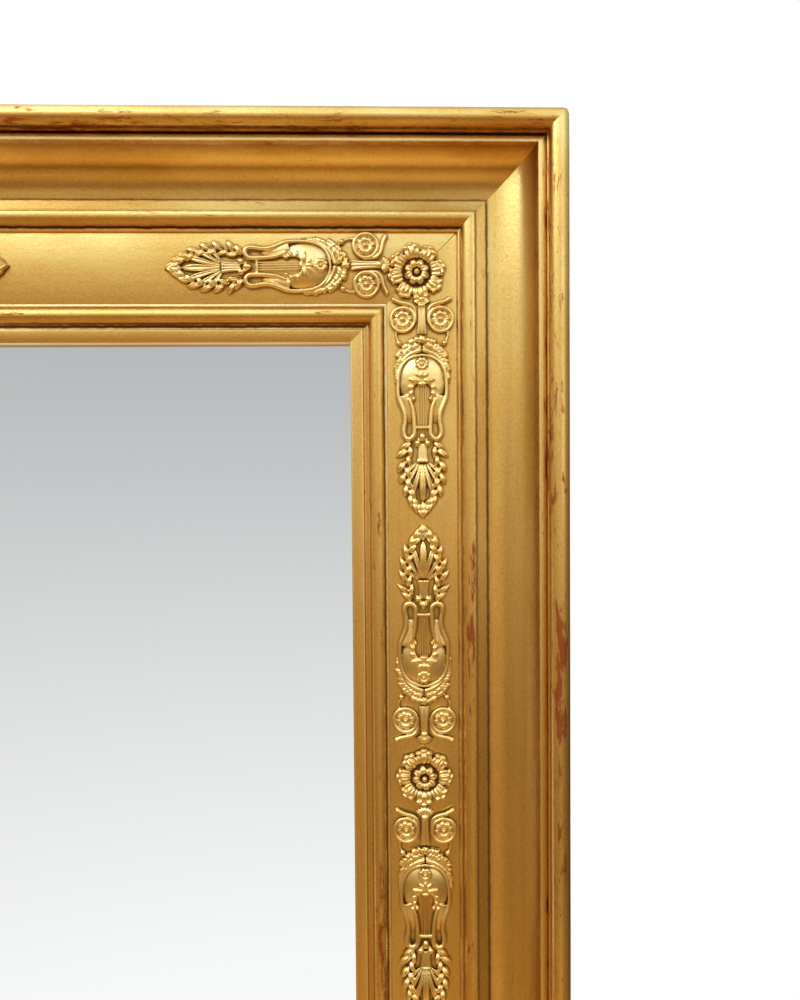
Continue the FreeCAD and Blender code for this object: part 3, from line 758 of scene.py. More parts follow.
def rosette(blanks):
    """Ruffled ring of lobed acanthus leaves round an open flower."""
    relief = Relief(blanks)
    leaves = 8
    root = 9.0
    lobes = ((-13, 10.0, 5.6, 4.8), (13, 10.0, 5.6, 4.8), (0, 11.4, 5.6, 6.4))
    relief.ball(0, 0, 0, 17.0, 17.0, 2.0)
    for index in range(leaves):
        degrees = 360 * index / leaves + random.uniform(-2.5, 2.5)
        for swing, length, width, height in lobes:
            angle = math.radians(degrees + swing)
            relief.leaf(
                root * math.cos(angle), root * math.sin(angle), degrees + 0.8 * swing,
                length + random.uniform(-0.5, 0.7), width, height, blank="petal", base=0.2, lift=3,
            )
            tip = 8.2 + length
            lobe = math.radians(degrees + 0.9 * swing)
            relief.ball(tip * math.cos(lobe), tip * math.sin(lobe), 2.8, 1.6, 2.6, 2.4, math.degrees(lobe))
    relief.flower(0, 0, 2.4, 9.2, 8, 5.4, 5.0, 2.0, turn=10)
    relief.ball(0, 0, 0, 7.0, 7.0, 3.2)
    relief.ball(0, 0, 5.8, 2.0, 2.0, 1.9)
    return finished(relief.fused("rosette"), rosette_triangles)


# Laying the ornament on the frieze
half_frieze = (u_astragal_ledge - u_frieze) / 2
frieze_rise = v_frieze_high - v_frieze_low
frieze_slope = math.atan2(frieze_rise, 2 * half_frieze)
u_frieze_middle = u_frieze + half_frieze
v_frieze_middle = (v_frieze_low + v_frieze_high) / 2
corner_slope = frieze_rise / (2 * half_frieze) / 2
valley_softness = 6 * MM
smooth_ornament = math.radians(60)

# Where the ornament was glued a little off its line: node, along the arm, across it, turn in degrees
hand_set = {
    "top_corner_arm_2": (0.6 * MM, -2.4 * MM, 0.9),
    "top_centre_arm_2": (1.6 * MM, 1.2 * MM, 0.0),
    "right_corner_arm_1": (-2.0 * MM, 0.0, 0.0),
    "right_centre_arm_1": (2.4 * MM, 0.0, 0.0),
    "corner_rosette_top_right": (-0.1 * MM, -4.9 * MM, 12.0),
}


def crowned(rows):
    """Ornament bent to the frieze's crown."""
    rows[:, 2] += frieze_crown * (1 - np.clip(np.abs(rows[:, 1]) / half_frieze, 0, 1) ** 2)
    return rows


def in_valley(rows):
    """Rosette bent into the valley between two friezes."""
    across = rows[:, 0]
    slope = corner_slope * math.sqrt(2)
    rows[:, 2] += slope * (np.sqrt(across ** 2 + valley_softness ** 2) - valley_softness) + 0.6 * frieze_crown
    return rows


def frieze_place(side, along, way):
    """Where flat ornament lies on a side's frieze: how far along the rail, and which way it points."""
    _, out = along_and_out(side)
    slope_cos = math.cos(frieze_slope)
    slope_sin = math.sin(frieze_slope)
    lay = Matrix((
        (way, 0, 0, along),
        (0, -way * slope_sin, -slope_cos, wall_y - v_frieze_middle),
        (0, way * slope_cos, -slope_sin, out + u_frieze_middle),
        (0, 0, 0, 1),
    ))
    return to_side(side) @ lay


def corner_place(side):
    """Where a flat rosette lies in the shallow valley of the mitre at this rail's far end."""
    up = Vector((-corner_slope, -1, -corner_slope)).normalized()
    across_mitre = Vector((1, 0, -1)).normalized()
    along_mitre = up.cross(across_mitre)
    half_length, out = along_and_out(side)
    foot = Vector((half_length + u_frieze_middle, wall_y - v_frieze_middle, out + u_frieze_middle))
    lay = Matrix((across_mitre, along_mitre, up)).transposed().to_4x4()
    return to_side(side) @ Matrix.Translation(foot) @ lay


def hand_shift(node):
    along, across, degrees = hand_set.get(node, (0, 0, 0))
    return Matrix.Translation((along, across, 0)) @ Matrix.Rotation(math.radians(degrees), 4, "Z")


def ornament_places():
    """Each ornament node with its kind, its place and the way it bends."""
    places = []
    for side in SIDES:
        half_length, _ = along_and_out(side)
        spacing = half_length + u_frieze_middle
        arms = {
            f"{side}_centre_arm_1": (0, -1),
            f"{side}_centre_arm_2": (0, 1),
            f"{side}_corner_arm_1": (-spacing, 1),
            f"{side}_corner_arm_2": (spacing, -1),
        }
        for node, (along, way) in arms.items():
            places.append((node, "arm", frieze_place(side, along, way), crowned))
        places.append((f"centre_rosette_{side}", "rosette", frieze_place(side, 0, 1), crowned))
        places.append((f"corner_rosette_{CORNERS[side][1]}", "rosette", corner_place(side), in_valley))
    return places


def laid(flat, node, place, bend):
    """A copy of flat ornament with its own mesh, set by hand, bent to the ground and put in its place."""
    piece = bpy.data.objects.new("dressed_" + node, flat.data.copy())
    piece.data.name = piece.name
    bpy.context.scene.collection.objects.link(piece)
    piece.data.transform(hand_shift(node))
    set_points(piece, bend(points_of(piece)))
    piece.data.transform(place)
    only(piece)
    bpy.ops.object.shade_smooth_by_angle(angle=smooth_ornament)
    return piece


def mark_shade_and_grime_round_ornament(frieze, places, surroundings):
    """Marks a frieze where ornament stands close by, for painted shade and grime round it."""
    rows = np.c_[points_of(frieze), np.ones(len(frieze.data.vertices))]
    nearby = np.zeros(len(rows))
    for node, kind, place, _ in places:
        back = np.array((place @ hand_shift(node)).inverted())
        nearby = np.maximum(nearby, surroundings[kind].at((rows @ back.T)[:, :2] / MM))
    mark(frieze, "hollow", nearby)


# Materials
class Finish:
    """Short way to write one material's nodes."""

    def __init__(self, name):
        self.material = bpy.data.materials.new(name)
        self.material.use_nodes = True
        self.tree = self.material.node_tree
        self.shader = self.tree.nodes["Principled BSDF"]
        self.place = self.add("ShaderNodeTexCoord").outputs["Object"]

    def add(self, kind, inputs=(), **settings):
        made = self.tree.nodes.new(kind)
        for name, value in settings.items():
            setattr(made, name, value)
        for key, value in dict(inputs).items():
            self.put(made.inputs[key], value)
        return made

    def put(self, socket, value):
        if isinstance(value, bpy.types.NodeSocket):
            self.tree.links.new(value, socket)
        else:
            socket.default_value = value

    def set(self, **values):
        """Sets or links the shader's own sockets, with _ for a space in their names."""
        for name, value in values.items():
            self.put(self.shader.inputs[name.replace("_", " ")], value)

    def math(self, operation, first, second=0.0, third=0.0):
        made = self.add("ShaderNodeMath", {0: first, 1: second, 2: third}, operation=operation)
        return made.outputs[0]

    def total(self, *parts):
        """Sum of (weight, value) parts."""
        result = None
        for weight, value in parts:
            part = self.math("MULTIPLY", value, weight)
            result = part if result is None else self.math("ADD", result, part)
        return result

    def stretch(self, vector, size):
        return self.add("ShaderNodeVectorMath", {0: vector, 1: size}, operation="MULTIPLY").outputs[0]

    def noise(self, vector, scale, detail=3.0, roughness=0.55, distortion=0.0):
        inputs = {
            "Vector": vector, "Scale": scale, "Detail": detail,
            "Roughness": roughness, "Distortion": distortion,
        }
        return self.add("ShaderNodeTexNoise", inputs).outputs["Fac"]

    def cells(self, vector, scale):
        return self.add("ShaderNodeTexVoronoi", {"Vector": vector, "Scale": scale}).outputs["Distance"]

    def between(self, value, low, high, to_low=0.0, to_high=1.0):
        inputs = {"Value": value, "From Min": low, "From Max": high, "To Min": to_low, "To Max": to_high}
        return self.add("ShaderNodeMapRange", inputs, interpolation_type="SMOOTHSTEP").outputs["Result"]

    def ramp(self, value, stops):
        """Grey ramp through (place, level) stops."""
        made = self.add("ShaderNodeValToRGB", {"Fac": value})
        band = made.color_ramp
        while len(band.elements) < len(stops):
            band.elements.new(0.5)
        for element, (place, level) in zip(band.elements, stops):
            element.position = place
            element.color = (level, level, level, 1)
        return made.outputs["Color"]

    def mix(self, share, first, second):
        made = self.add("ShaderNodeMix", data_type="RGBA")
        colours = [socket for socket in made.inputs if socket.type == "RGBA"]
        self.put(made.inputs["Factor"], share)
        self.put(colours[0], first)
        self.put(colours[1], second)
        return [socket for socket in made.outputs if socket.type == "RGBA"][0]

    def bump(self, height, depth, onto=None):
        made = self.add("ShaderNodeBump", {"Height": height, "Distance": depth})
        if onto is not None:
            self.put(made.inputs["Normal"], onto)
        return made.outputs["Normal"]


GOLD = (0.95, 0.64, 0.23, 1)
GOLD_DEEP = (0.80, 0.46, 0.11, 1)
GOLD_BRIGHT = (0.97, 0.71, 0.31, 1)
# Pale gold for painted highlights along the arrises
GOLD_HIGHLIGHT = (1.0, 0.84, 0.48, 1)
# Share of the gold's colour that is left in painted shade
SHADE_SHARE = (0.42, 0.27, 0.13)
BOLE = (0.40, 0.075, 0.022, 1)
# Near-black brown for painted shade in the grooves, in the hollows and round the ornament, and for real grime
# and specks
SHADE_AND_GRIME = (0.075, 0.017, 0.003, 1)
SILVER = (0.93, 0.94, 0.94, 1)
BACK_PAINT = (0.10, 0.045, 0.03, 1)
SOOT = (0.09, 0.06, 0.04, 1)
PINE_PALE = (0.42, 0.27, 0.13, 1)
PINE_DARK = (0.24, 0.135, 0.058, 1)
BOARD_PALE = (0.36, 0.22, 0.105, 1)
BOARD_DARK = (0.19, 0.105, 0.045, 1)
BRASS = (0.62, 0.44, 0.17, 1)
BRASS_DULL = (0.25, 0.16, 0.06, 1)
IRON = (0.22, 0.2, 0.18, 1)
IRON_DULL = (0.10, 0.06, 0.04, 1)


def rail_places(finish):
    """Distance across the rail from the sight edge, distance along it, depth, and 1 on a stile."""
    axes = finish.add("ShaderNodeSeparateXYZ", {0: finish.place})
    x = axes.outputs["X"]
    z = finish.math("SUBTRACT", axes.outputs["Z"], middle_z)
    across_side = finish.math("SUBTRACT", finish.math("ABSOLUTE", x), half_sight_width)
    across_top = finish.math("SUBTRACT", finish.math("ABSOLUTE", z), half_sight_height)
    across = finish.math("MAXIMUM", across_side, across_top)
    on_stile = finish.math("GREATER_THAN", across_side, across_top)
    along_stile = finish.math("MULTIPLY", on_stile, z)
    along_rail = finish.math("MULTIPLY", finish.math("SUBTRACT", 1.0, on_stile), x)
    along = finish.math("ADD", along_stile, along_rail)
    return across, along, axes.outputs["Y"], on_stile


# Painted shade and grime in the grooves: place across the rail, half width, level on the rails, level on the
# stiles
groove_shade_and_grime_lines = (
    ((u_slip + u_inner_bead) / 2 + 0.6 * MM, 1.7 * MM, 0.95, 0.25),
    (u_inner_ledge - 0.2 * MM, 1.0 * MM, 0.05, 0.6),
    (u_astragal + 0.2 * MM, 1.1 * MM, 0.97, 0.25),
    (u_step + 0.2 * MM, 1.3 * MM, 0.35, 0.6),
    (u_cove + 0.5 * MM, 1.7 * MM, 0.75, 0.72),
    (u_outer_groove + 0.6 * MM, 0.9 * MM, 0.95, 0.25),
)

# Painted highlights along the arrises, in the same way
arris_highlight_lines = (
    (0.6 * MM, 0.9 * MM, 0.2, 0.7),
    (u_slip - 0.5 * MM, 0.7 * MM, 0.25, 0.8),
    (u_frieze - 0.4 * MM, 1.6 * MM, 0.7, 0.5),
    (u_astragal_ledge + 0.5 * MM, 1.4 * MM, 0.45, 0.5),
    (u_top_fillet + 1.0 * MM, 1.0 * MM, 0.6, 0.3),
)


def line_levels(finish, share, on_stile, lines):
    """Level of some lines across the rail, which differs between the rails and the stiles."""
    ramps = []
    for column in (0, 1):
        stops = [(0.0, 0.0)]
        for u, half, *levels in lines:
            level = levels[column]
            core = 0.35 * half
            stops += [
                ((u - half) / rail_width, 0.0), ((u - core) / rail_width, level),
                ((u + core) / rail_width, level), ((u + half) / rail_width, 0.0),
            ]
        ramps.append(finish.ramp(share, stops))
    return finish.mix(on_stile, *ramps)


# How readily the gold rubs through, across the rail
exposed_crests = (
    (0.0, 0.2), (u_slip, 0.2), (u_inner_bead + 2 * MM, 0.6), (u_inner_bead + 7 * MM, 0.75),
    (u_frieze, 0.3), (u_frieze + 3 * MM, 0.06),
    (u_astragal - 3 * MM, 0.06), (u_astragal + 4 * MM, 0.45), (u_astragal + 7 * MM, 0.6), (u_step, 0.3),
    (u_cove, 0.2), (u_cove + 3 * MM, 0.12), (u_top_fillet - 3 * MM, 0.14), (u_top_fillet + 2 * MM, 0.5),
    (u_outer_bead, 1.0), (u_outer_bead + 5 * MM, 0.95), (u_outer_bead + 9 * MM, 0.5), (rail_width, 0.5),
)

# Where handling has rubbed the right stile: across from and to, height from and to, how far
rubbed_places = (
    (82.5 * MM, 88.5 * MM, 509 * MM, 633 * MM, 0.24),
    (138.5 * MM, 146 * MM, 490 * MM, 580 * MM, 0.36),
    (139 * MM, 146 * MM, 395 * MM, 455 * MM, 0.26),
    (18 * MM, 23.5 * MM, 305 * MM, 400 * MM, 0.20),
)


def in_cove(share):
    return u_cove + share * (u_top_fillet - u_cove)


# Painted light and shade across the rails and the stiles: painted bands of reflection in the cove, painted
# shade on the undersides of the beads and on the step
shade_bands_rails = (
    (0.0, 0.95), (u_slip, 0.95),
    (u_inner_bead, 0.65), (u_inner_bead + 4 * MM, 0.75), (u_inner_bead + 7 * MM, 1.0),
    (u_astragal - 0.5 * MM, 1.0), (u_astragal + 0.5 * MM, 0.55), (u_astragal + 4 * MM, 0.7),
    (u_astragal + 7 * MM, 1.0), (u_step, 1.0), (u_step + 0.6 * MM, 0.60), (u_cove - 0.5 * MM, 0.62),
    (in_cove(0.07), 0.70), (in_cove(0.28), 0.58), (in_cove(0.455), 1.0), (in_cove(0.63), 0.53),
    (in_cove(0.76), 1.0), (in_cove(0.95), 0.50), (u_top_fillet, 0.8), (u_top_fillet + 0.8 * MM, 1.0),
    (u_outer_bead, 0.7), (u_outer_bead + 4 * MM, 0.75), (u_outer_bead + 7 * MM, 1.0), (rail_width, 1.0),
)
shade_bands_stiles = (
    (0.0, 1.0), (u_step, 1.0), (u_step + 0.6 * MM, 0.72), (u_cove, 0.70),
    (in_cove(0.16), 1.0), (in_cove(0.41), 0.84), (in_cove(0.76), 1.0), (in_cove(0.95), 0.55),
    (u_top_fillet, 0.75), (u_top_fillet + 0.8 * MM, 1.0), (rail_width, 0.95),
)


def across_ramp(finish, share, levels):
    """Levels given by distance across the rail."""
    return finish.ramp(share, [(u / rail_width, level) for u, level in levels])


def rubbed(finish, soft):
    """How far the right stile is rubbed, with a ragged edge."""
    soft_across = 1 * MM
    soft_along = 12 * MM
    axes = finish.add("ShaderNodeSeparateXYZ", {0: finish.place})
    ragged_x = finish.math("ADD", axes.outputs["X"], finish.between(soft, 0.2, 0.8, -2 * MM, 2 * MM))
    ragged_z = finish.math("ADD", axes.outputs["Z"], finish.between(soft, 0.2, 0.8, -14 * MM, 14 * MM))
    total = None
    for u_low, u_high, z_low, z_high, how_far in rubbed_places:
        x_low = half_sight_width + u_low
        x_high = half_sight_width + u_high
        edges = (
            finish.between(ragged_x, x_low - soft_across, x_low + soft_across),
            finish.between(ragged_x, x_high + soft_across, x_high - soft_across),
            finish.between(ragged_z, z_low - soft_along, z_low + soft_along),
            finish.between(ragged_z, z_high + soft_along, z_high - soft_along),
        )
        window = how_far
        for edge in edges:
            window = finish.math("MULTIPLY", window, edge)
        total = window if total is None else finish.math("MAXIMUM", total, window)
    return total


def gilded_wood():
    """Water gilding over red bole: rubbed on the beads, with painted shade and grime in the grooves and round
    the ornament, painted shade and reflection bands across the rails and painted highlights on the arrises.
    """
    finish = Finish("gilded_wood")
    across, along, depth, on_stile = rail_places(finish)
    run = finish.add("ShaderNodeCombineXYZ", {"X": along, "Y": across, "Z": depth}).outputs[0]
    drawn = finish.stretch(run, (0.2, 1, 1))
    wander = finish.between(finish.noise(finish.place, 160, 3), 0.2, 0.8, -0.35 * MM, 0.35 * MM)
    share = finish.math("DIVIDE", finish.math("ADD", across, wander), rail_width)
    # Painted shade and grime along the grooves, at its own level on the rails and on the stiles
    groove_shade_and_grime = line_levels(finish, share, on_stile, groove_shade_and_grime_lines)
    # Painted highlights along the arrises
    arris_highlight = line_levels(finish, share, on_stile, arris_highlight_lines)

    fine = finish.noise(finish.stretch(run, (0.6, 1, 1)), 900, 3, 0.6)
    pits = finish.noise(run, 240, 4, 0.6)
    mottle = finish.noise(finish.stretch(run, (0.35, 1, 1)), 26, 5, 0.6)
    streak = finish.noise(finish.stretch(run, (0.03, 1, 1)), 330, 3, 0.6)
    wear = finish.noise(drawn, 260, 5, 0.65, 0.3)

    # Painted shade and grime on the frieze round the ornament
    shade_and_grime_beside_ornament = finish.add("ShaderNodeAttribute", attribute_name="hollow").outputs["Fac"]
    shade_and_grime_round_ornament = finish.between(finish.total((1.0, shade_and_grime_beside_ornament), (0.5, pits)), 0.6, 2.2, 0.0, 0.45)
    exposed = across_ramp(finish, share, exposed_crests)
    patch = finish.noise(run, 9, 2, 0.5)
    handled = rubbed(finish, patch)
    worn = finish.total((1.6, wear), (0.5, patch), (0.30, fine), (0.26, exposed), (1.0, handled))
    bole = finish.between(worn, 1.50, 1.72, 0.0, 0.9)
    speck_field = finish.between(finish.total((1.0, finish.noise(run, 14, 2)), (0.16, exposed)), 0.54, 0.70)
    specks = finish.math("MULTIPLY", finish.between(finish.cells(run, 420), 0.17, 0.06), speck_field)

    tone = finish.total((0.5, mottle), (0.12, streak), (0.38, fine))
    gold = finish.mix(finish.between(tone, 0.38, 0.62), GOLD_DEEP, GOLD)
    # Painted shade and painted bands of reflection across the rail, set apart for the rails and the stiles
    rails_shade_band = across_ramp(finish, share, shade_bands_rails)
    stiles_shade_band = across_ramp(finish, share, shade_bands_stiles)
    band = finish.mix(on_stile, rails_shade_band, stiles_shade_band)
    shaded_gold = finish.stretch(gold, SHADE_SHARE)
    # Gold with painted shade and reflection bands, then painted highlights along the arrises
    shaded_and_highlit = finish.mix(arris_highlight, finish.mix(finish.between(band, 0.35, 1.0), shaded_gold, gold), GOLD_HIGHLIGHT)
    with_bole = finish.mix(bole, shaded_and_highlit, BOLE)
    # Painted shade and grime from the grooves and round the ornament, with real dirt specks
    shade_and_dirt = finish.math("MAXIMUM", groove_shade_and_grime, finish.math("MULTIPLY", specks, 0.8))
    shade_and_dirt = finish.math("MAXIMUM", shade_and_dirt, shade_and_grime_round_ornament)
    dull = finish.math("MAXIMUM", shade_and_dirt, finish.math("MULTIPLY", bole, 0.75))
    relief = finish.total((0.35, fine), (0.5, pits), (-0.4, dull))
    satin = finish.between(mottle, 0.3, 0.7, 0.40, 0.28)
    finish.set(
        Base_Color=finish.mix(shade_and_dirt, with_bole, SHADE_AND_GRIME),
        Specular_IOR_Level=0.15,
        Metallic=finish.between(dull, 0.6, 1.0, 1.0, 0.4),
        Roughness=finish.math("ADD", satin, finish.math("MULTIPLY", dull, 0.2)),
        Normal=finish.bump(relief, 0.15 * MM),
    )
    return finish.material


def gilded_composition():
    """Gilding over pressed relief: painted shade and grime, dark brown, in the hollows; brighter gold on the
    high parts, here and there rubbed to the bole.
    """
    finish = Finish("gilded_composition")
    depth = finish.add("ShaderNodeAttribute", attribute_name="hollow").outputs["Fac"]
    soft = finish.noise(finish.place, 60, 4, 0.6)
    fine = finish.noise(finish.place, 420, 3, 0.6)
    # The hollow attribute sets painted shade and grime, with a ragged edge
    ragged = finish.total((1.0, depth), (0.9, finish.math("SUBTRACT", fine, 0.5)))
    hollow = finish.between(ragged, 0.25, 1.35)
    crest = finish.between(ragged, -0.8, -2.0)
    gold = finish.mix(finish.between(soft, 0.35, 0.65), GOLD, GOLD_BRIGHT)
    rubbed_crest = finish.math("MULTIPLY", crest, finish.between(soft, 0.55, 0.75, 0.0, 0.35))
    colour = finish.mix(finish.math("MULTIPLY", hollow, 0.93), finish.mix(rubbed_crest, gold, BOLE), SHADE_AND_GRIME)
    satin = finish.between(soft, 0.3, 0.7, 0.38, 0.28)
    finish.set(
        Base_Color=colour,
        Specular_IOR_Level=0.15,
        Metallic=finish.between(hollow, 0.5, 1.0, 1.0, 0.6),
        Roughness=finish.math("ADD", satin, finish.math("MULTIPLY", hollow, 0.25)),
        Normal=finish.bump(fine, 0.12 * MM),
    )
    return finish.material


def silvered_glass():
    """Clear silvered plate, painted over the silver on its back."""
    finish = Finish("silvered_glass")
    depth = finish.add("ShaderNodeSeparateXYZ", {0: finish.place}).outputs["Y"]
    paint_depth = 0.5 * MM
    painted = finish.math("GREATER_THAN", depth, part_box("mirror_glass")[1].y - paint_depth)
    finish.set(
        Base_Color=finish.mix(painted, SILVER, BACK_PAINT),
        Metallic=finish.math("SUBTRACT", 1.0, painted),
        Roughness=finish.math("MULTIPLY", painted, 0.7),
    )
    return finish.material


def aged_pine(name, grain_axis, pale, dark):
    """Bare old softwood with grain along one axis."""
    finish = Finish(name)
    pull = [1.0, 1.0, 1.0]
    pull[grain_axis] = 0.035
    grained = finish.stretch(finish.place, pull)
    rings = finish.noise(grained, 85, 5, 0.6, 1.0)
    fibre = finish.noise(grained, 600, 3, 0.65)
    stain = finish.noise(finish.place, 9, 6, 0.65)
    tone = finish.total((0.7, rings), (0.3, fibre))
    wood = finish.mix(finish.between(tone, 0.36, 0.66), dark, pale)
    sooty = finish.mix(finish.between(stain, 0.48, 0.78, 0.0, 0.45), wood, SOOT)
    finish.set(
        Base_Color=sooty,
        Roughness=finish.between(fibre, 0.3, 0.7, 0.85, 0.65),
        Normal=finish.bump(tone, 0.6 * MM),
    )
    return finish.material


def old_metal(name, bright, dull, metallic):
    """Dull metal with a blotched patina and scratches."""
    finish = Finish(name)
    blotch = finish.noise(finish.place, 140, 5, 0.65)
    scratch = finish.noise(finish.stretch(finish.place, (1, 1, 0.08)), 1400, 2, 0.5)
    patina = finish.between(finish.total((1.0, blotch), (0.2, scratch)), 0.48, 0.72)
    finish.set(
        Base_Color=finish.mix(patina, bright, dull),
        Metallic=metallic,
        Roughness=finish.between(patina, 0.0, 1.0, 0.34, 0.6),
        Normal=finish.bump(blotch, 0.08 * MM),
    )
    return finish.material


# Stage
def studio_world():
    """White to the camera, grey to white for the glass, warm floor and bright ceiling for the gold."""
    world = bpy.data.worlds.new("studio")
    bpy.context.scene.world = world
    world.use_nodes = True
    tree = world.node_tree
    links = tree.links
    nodes = tree.nodes
    background = nodes["Background"]
    path = nodes.new("ShaderNodeLightPath")
    direction = nodes.new("ShaderNodeTexCoord")
    axes = nodes.new("ShaderNodeSeparateXYZ")
    links.new(direction.outputs["Generated"], axes.inputs[0])

    def sweep(socket, stops):
        """Colour by one direction, from -1 to 1. A single number is a grey."""
        shift = nodes.new("ShaderNodeMapRange")
        shift.inputs["From Min"].default_value = -1
        links.new(socket, shift.inputs["Value"])
        ramp = nodes.new("ShaderNodeValToRGB")
        links.new(shift.outputs["Result"], ramp.inputs["Fac"])
        while len(ramp.color_ramp.elements) < len(stops):
            ramp.color_ramp.elements.new(0.5)
        for element, (place, colour) in zip(ramp.color_ramp.elements, stops):
            element.position = (place + 1) / 2
            element.color = (*colour, 1) if isinstance(colour, tuple) else (colour, colour, colour, 1)
        return ramp.outputs["Color"]

    def choose(share, first, second):
        mix = nodes.new("ShaderNodeMix")
        mix.data_type = "RGBA"
        colours = [socket for socket in mix.inputs if socket.type == "RGBA"]
        links.new(share, mix.inputs["Factor"])
        for socket, value in zip(colours, (first, second)):
            if isinstance(value, bpy.types.NodeSocket):
                links.new(value, socket)
            else:
                socket.default_value = value
        return [socket for socket in mix.outputs if socket.type == "RGBA"][0]

    def product(first, second):
        mix = nodes.new("ShaderNodeVectorMath")
        mix.operation = "MULTIPLY"
        links.new(first, mix.inputs[0])
        links.new(second, mix.inputs[1])
        return mix.outputs[0]

    height = axes.outputs["Z"]
    seen_by_glass = sweep(height, [
        (-1.0, 1.0), (-0.5, 1.0), (-0.28, 0.82), (0.0, (0.60, 0.60, 0.61)), (0.2, (0.48, 0.48, 0.49)),
        (1.0, (0.55, 0.55, 0.56)),
    ])
    seen_by_gold = sweep(height, [
        (-1.0, (0.61, 0.395, 0.142)), (-0.70, (0.59, 0.38, 0.137)), (-0.42, (0.234, 0.149, 0.062)),
        (-0.25, (0.305, 0.202, 0.092)), (-0.12, (0.475, 0.336, 0.169)), (0.0, (0.50, 0.395, 0.24)),
        (0.1, (0.49, 0.45, 0.31)), (0.21, (0.51, 0.49, 0.36)), (0.27, (0.55, 0.55, 0.44)),
        (0.33, (0.80, 0.94, 0.95)), (0.40, (1.0, 1.32, 1.62)), (1.0, (0.90, 0.98, 1.0)),
    ])
    upper_left_to_right = sweep(axes.outputs["X"], [
        (-1.0, 1.2), (-0.6, 1.3), (-0.36, 1.75), (-0.2, 1.7), (-0.05, 1.2), (0.4, 1.0), (1.0, 0.8),
    ])
    lower_left_to_right = sweep(axes.outputs["X"], [
        (-1.0, 0.9), (-0.6, 1.0), (-0.3, 1.15), (-0.05, 1.48), (0.3, 0.85), (1.0, 0.5),
    ])
    upper = sweep(height, [(-1.0, 0), (-0.1, 0), (0.2, 1), (1.0, 1)])
    left_to_right = choose(upper, lower_left_to_right, upper_left_to_right)
    front_to_back = sweep(axes.outputs["Y"], [(-1.0, 1.0), (-0.15, 1.0), (0.3, 0.5), (1.0, 0.5)])
    gold_room = product(product(seen_by_gold, left_to_right), front_to_back)
    glossy = choose(path.outputs["Is Singular Ray"], gold_room, seen_by_glass)
    indirect = choose(path.outputs["Is Glossy Ray"], (0.62, 0.62, 0.62, 1), glossy)
    links.new(choose(path.outputs["Is Camera Ray"], indirect, (1, 1, 1, 1)), background.inputs["Color"])
    background.inputs["Strength"].default_value = 1.0


def pale_floor():
    """Pale floor that shows the object's shadow near it and turns white further off."""
    deselect()
    bpy.ops.mesh.primitive_circle_add(vertices=96, radius=6, fill_type="NGON")
    floor = bpy.context.object
    floor.name = "floor"
    floor.visible_glossy = False
    finish = Finish("pale_floor")
    axes = finish.add("ShaderNodeSeparateXYZ", {0: finish.place})
    beyond = finish.math("SUBTRACT", finish.math("ABSOLUTE", axes.outputs["X"]), cad_box[1].x)
    beyond = finish.math("MAXIMUM", beyond, 0.0)
    squares = (finish.math("POWER", beyond, 2.0), finish.math("POWER", axes.outputs["Y"], 2.0))
    distance = finish.math("SQRT", finish.math("ADD", *squares))
    white = finish.between(distance, 0.12, 0.42)
    camera = finish.add("ShaderNodeLightPath").outputs["Is Camera Ray"]
    glow = finish.add("ShaderNodeEmission", {"Color": (1, 1, 1, 1), "Strength": 1.0})
    finish.set(Base_Color=(0.86, 0.86, 0.85, 1), Roughness=0.9)
    share = finish.math("MULTIPLY", white, camera)
    blend = finish.add("ShaderNodeMixShader", {0: share, 1: finish.shader.outputs[0], 2: glow.outputs[0]})
    output = finish.tree.nodes["Material Output"]
    finish.tree.links.new(blend.outputs[0], output.inputs["Surface"])
    floor.data.materials.append(finish.material)


def soft_lamp(name, place, aim, size, power, colour=(1, 1, 1)):
    lamp = bpy.data.lights.new(name, "AREA")
    lamp.shape = "RECTANGLE"
    lamp.size, lamp.size_y = size
    lamp.energy = power
    lamp.color = colour
    holder = bpy.data.objects.new(name, lamp)
    holder.location = place
    holder.rotation_euler = (Vector(aim) - Vector(place)).to_track_quat("-Z", "Y").to_euler()
    bpy.context.scene.collection.objects.link(holder)


def studio_camera():
    """Camera close to the top right corner, nearly square to the glass."""
    lens_in_pixels = 838.5
    image_height = 1000
    place = (439.4 * MM, -602.6 * MM, 683.2 * MM)
    pitch, yaw, roll = (math.radians(angle) for angle in (-1.645, -1.673, 0.470))
    turn = Matrix.Rotation(roll, 3, "Z") @ Matrix.Rotation(yaw, 3, "Y") @ Matrix.Rotation(pitch, 3, "X")
    right, up, ahead = (Vector((row[0], row[2], row[1])) for row in turn)
    camera = bpy.data.cameras.new("camera")
    camera.sensor_fit = "VERTICAL"
    camera.sensor_height = 36
    camera.lens = camera.sensor_height * lens_in_pixels / image_height
    camera.clip_start = 0.02
    holder = bpy.data.objects.new("camera", camera)
    bpy.context.scene.collection.objects.link(holder)
    axes = Matrix((right, up, -ahead)).transposed().to_4x4()
    holder.matrix_world = Matrix.Translation(place) @ axes
    bpy.context.scene.camera = holder


# Dressing the frame
def dress(piece, node, material):
    """Puts a new piece in place of a CAD node on the frame body."""
    piece.data.materials.clear()
    piece.data.materials.append(material)
    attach(piece, "frame")
    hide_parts(node)


def flat_ornament():
    """The arm and the rosette as flat pieces, and how high each stands round any point."""
    blanks = {
        "leaf": blank_leaf(point=0.45, hollow=0.22, hollow_width=0.16),
        "petal": blank_leaf(point=-0.1, hollow=0.30, hollow_width=0.22),
        "spoon": blank_spoon(hollow=0.4),
        "ball": blank_ball(),
    }
    flat = {}
    surroundings = {}
    flat["arm"], surroundings["arm"] = lyre_arm(blanks)
    flat["rosette"], surroundings["rosette"] = rosette(blanks)
    for blank in blanks.values():
        bpy.data.objects.remove(blank)
    return flat, surroundings


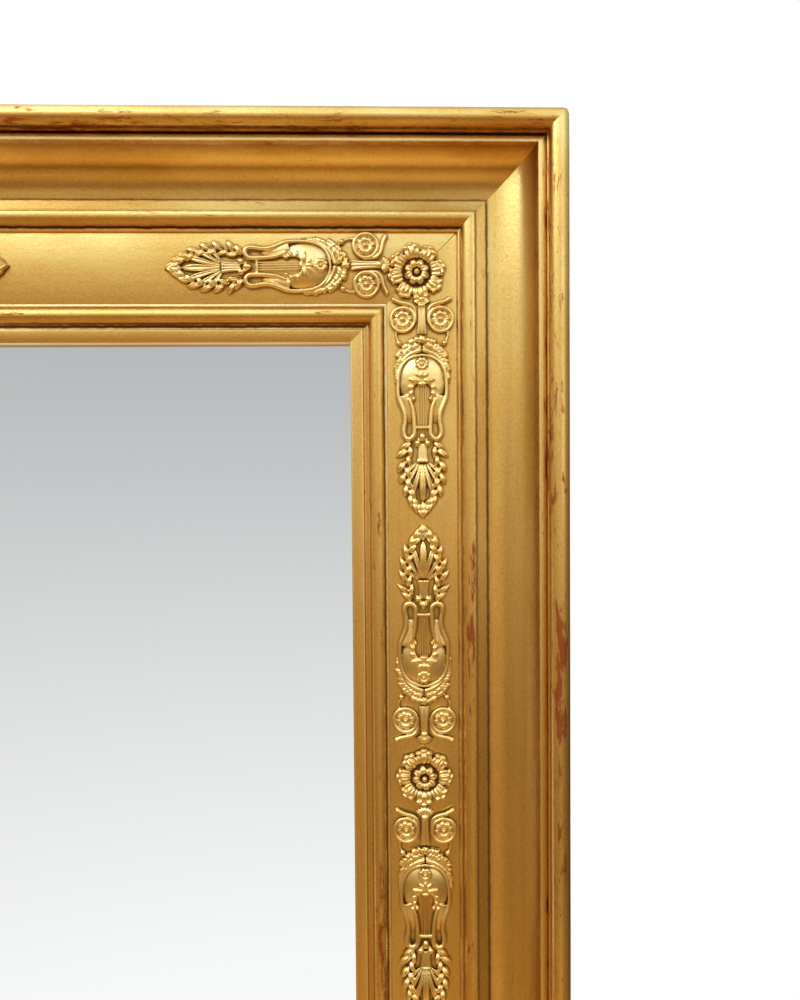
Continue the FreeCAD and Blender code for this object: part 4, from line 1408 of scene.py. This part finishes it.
def dress_ornament(material, flat, places):
    for node, kind, place, bend in places:
        dress(laid(flat[kind], node, place, bend), node, material)
    for piece in flat.values():
        bpy.data.objects.remove(piece)


def dress_mouldings(material, places, surroundings):
    planing = planing_texture()
    plain_sections = {
        "sight_moulding": sight_outline(),
        "astragal": astragal_outline(),
        "cornice": cornice_outline(),
    }
    for side in SIDES:
        for section, outline in plain_sections.items():
            node = f"{section}_{side}"
            length = moulding("dressed_" + node, outline, side, span_length, 0, planing)
            dress(length, node, material)
        node = f"frieze_{side}"
        board = moulding(
            "dressed_" + node, frieze_outline(), side, frieze_span, frieze_mitre_opening, planing)
        # Painted shade and grime on the frieze round the ornament
        mark_shade_and_grime_round_ornament(board, places, surroundings)
        dress(board, node, material)


def dress_nodes():
    """Materials for the CAD nodes that stay as they are."""
    along_x = 0
    along_z = 2
    rail_pine = aged_pine("rail_pine", along_x, PINE_PALE, PINE_DARK)
    stile_pine = aged_pine("stile_pine", along_z, PINE_PALE, PINE_DARK)
    board_pine = aged_pine("board_pine", along_z, BOARD_PALE, BOARD_DARK)
    brass = old_metal("hanger_brass", BRASS, BRASS_DULL, 1.0)
    iron = old_metal("screw_iron", IRON, IRON_DULL, 0.9)
    chosen = {
        "carcass_rail": rail_pine,
        "carcass_stile": stile_pine,
        "backboard": board_pine,
        "hanger": brass,
        "mirror_glass": silvered_glass(),
    }
    for node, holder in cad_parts.items():
        material = next((m for start, m in chosen.items() if node.startswith(start)), stile_pine)
        if node.endswith("_screws"):
            material = iron
        holder.data.materials.clear()
        holder.data.materials.append(material)


dress_nodes()
ornament = ornament_places()
flat_pieces, ornament_surroundings = flat_ornament()
dress_mouldings(gilded_wood(), ornament, ornament_surroundings)
dress_ornament(gilded_composition(), flat_pieces, ornament)

studio_world()
pale_floor()
centre = (0, 0, middle_z)
soft_lamp("key", (-1.5, -1.6, 2.5), centre, (1.1, 0.9), 18)
soft_lamp("fill", (1.6, -1.9, 1.2), centre, (1.6, 1.6), 5)
soft_lamp("back", (0.8, 2.2, 1.8), centre, (1.8, 1.4), 22)
studio_camera()
bpy.context.scene.view_settings.view_transform = "Standard"
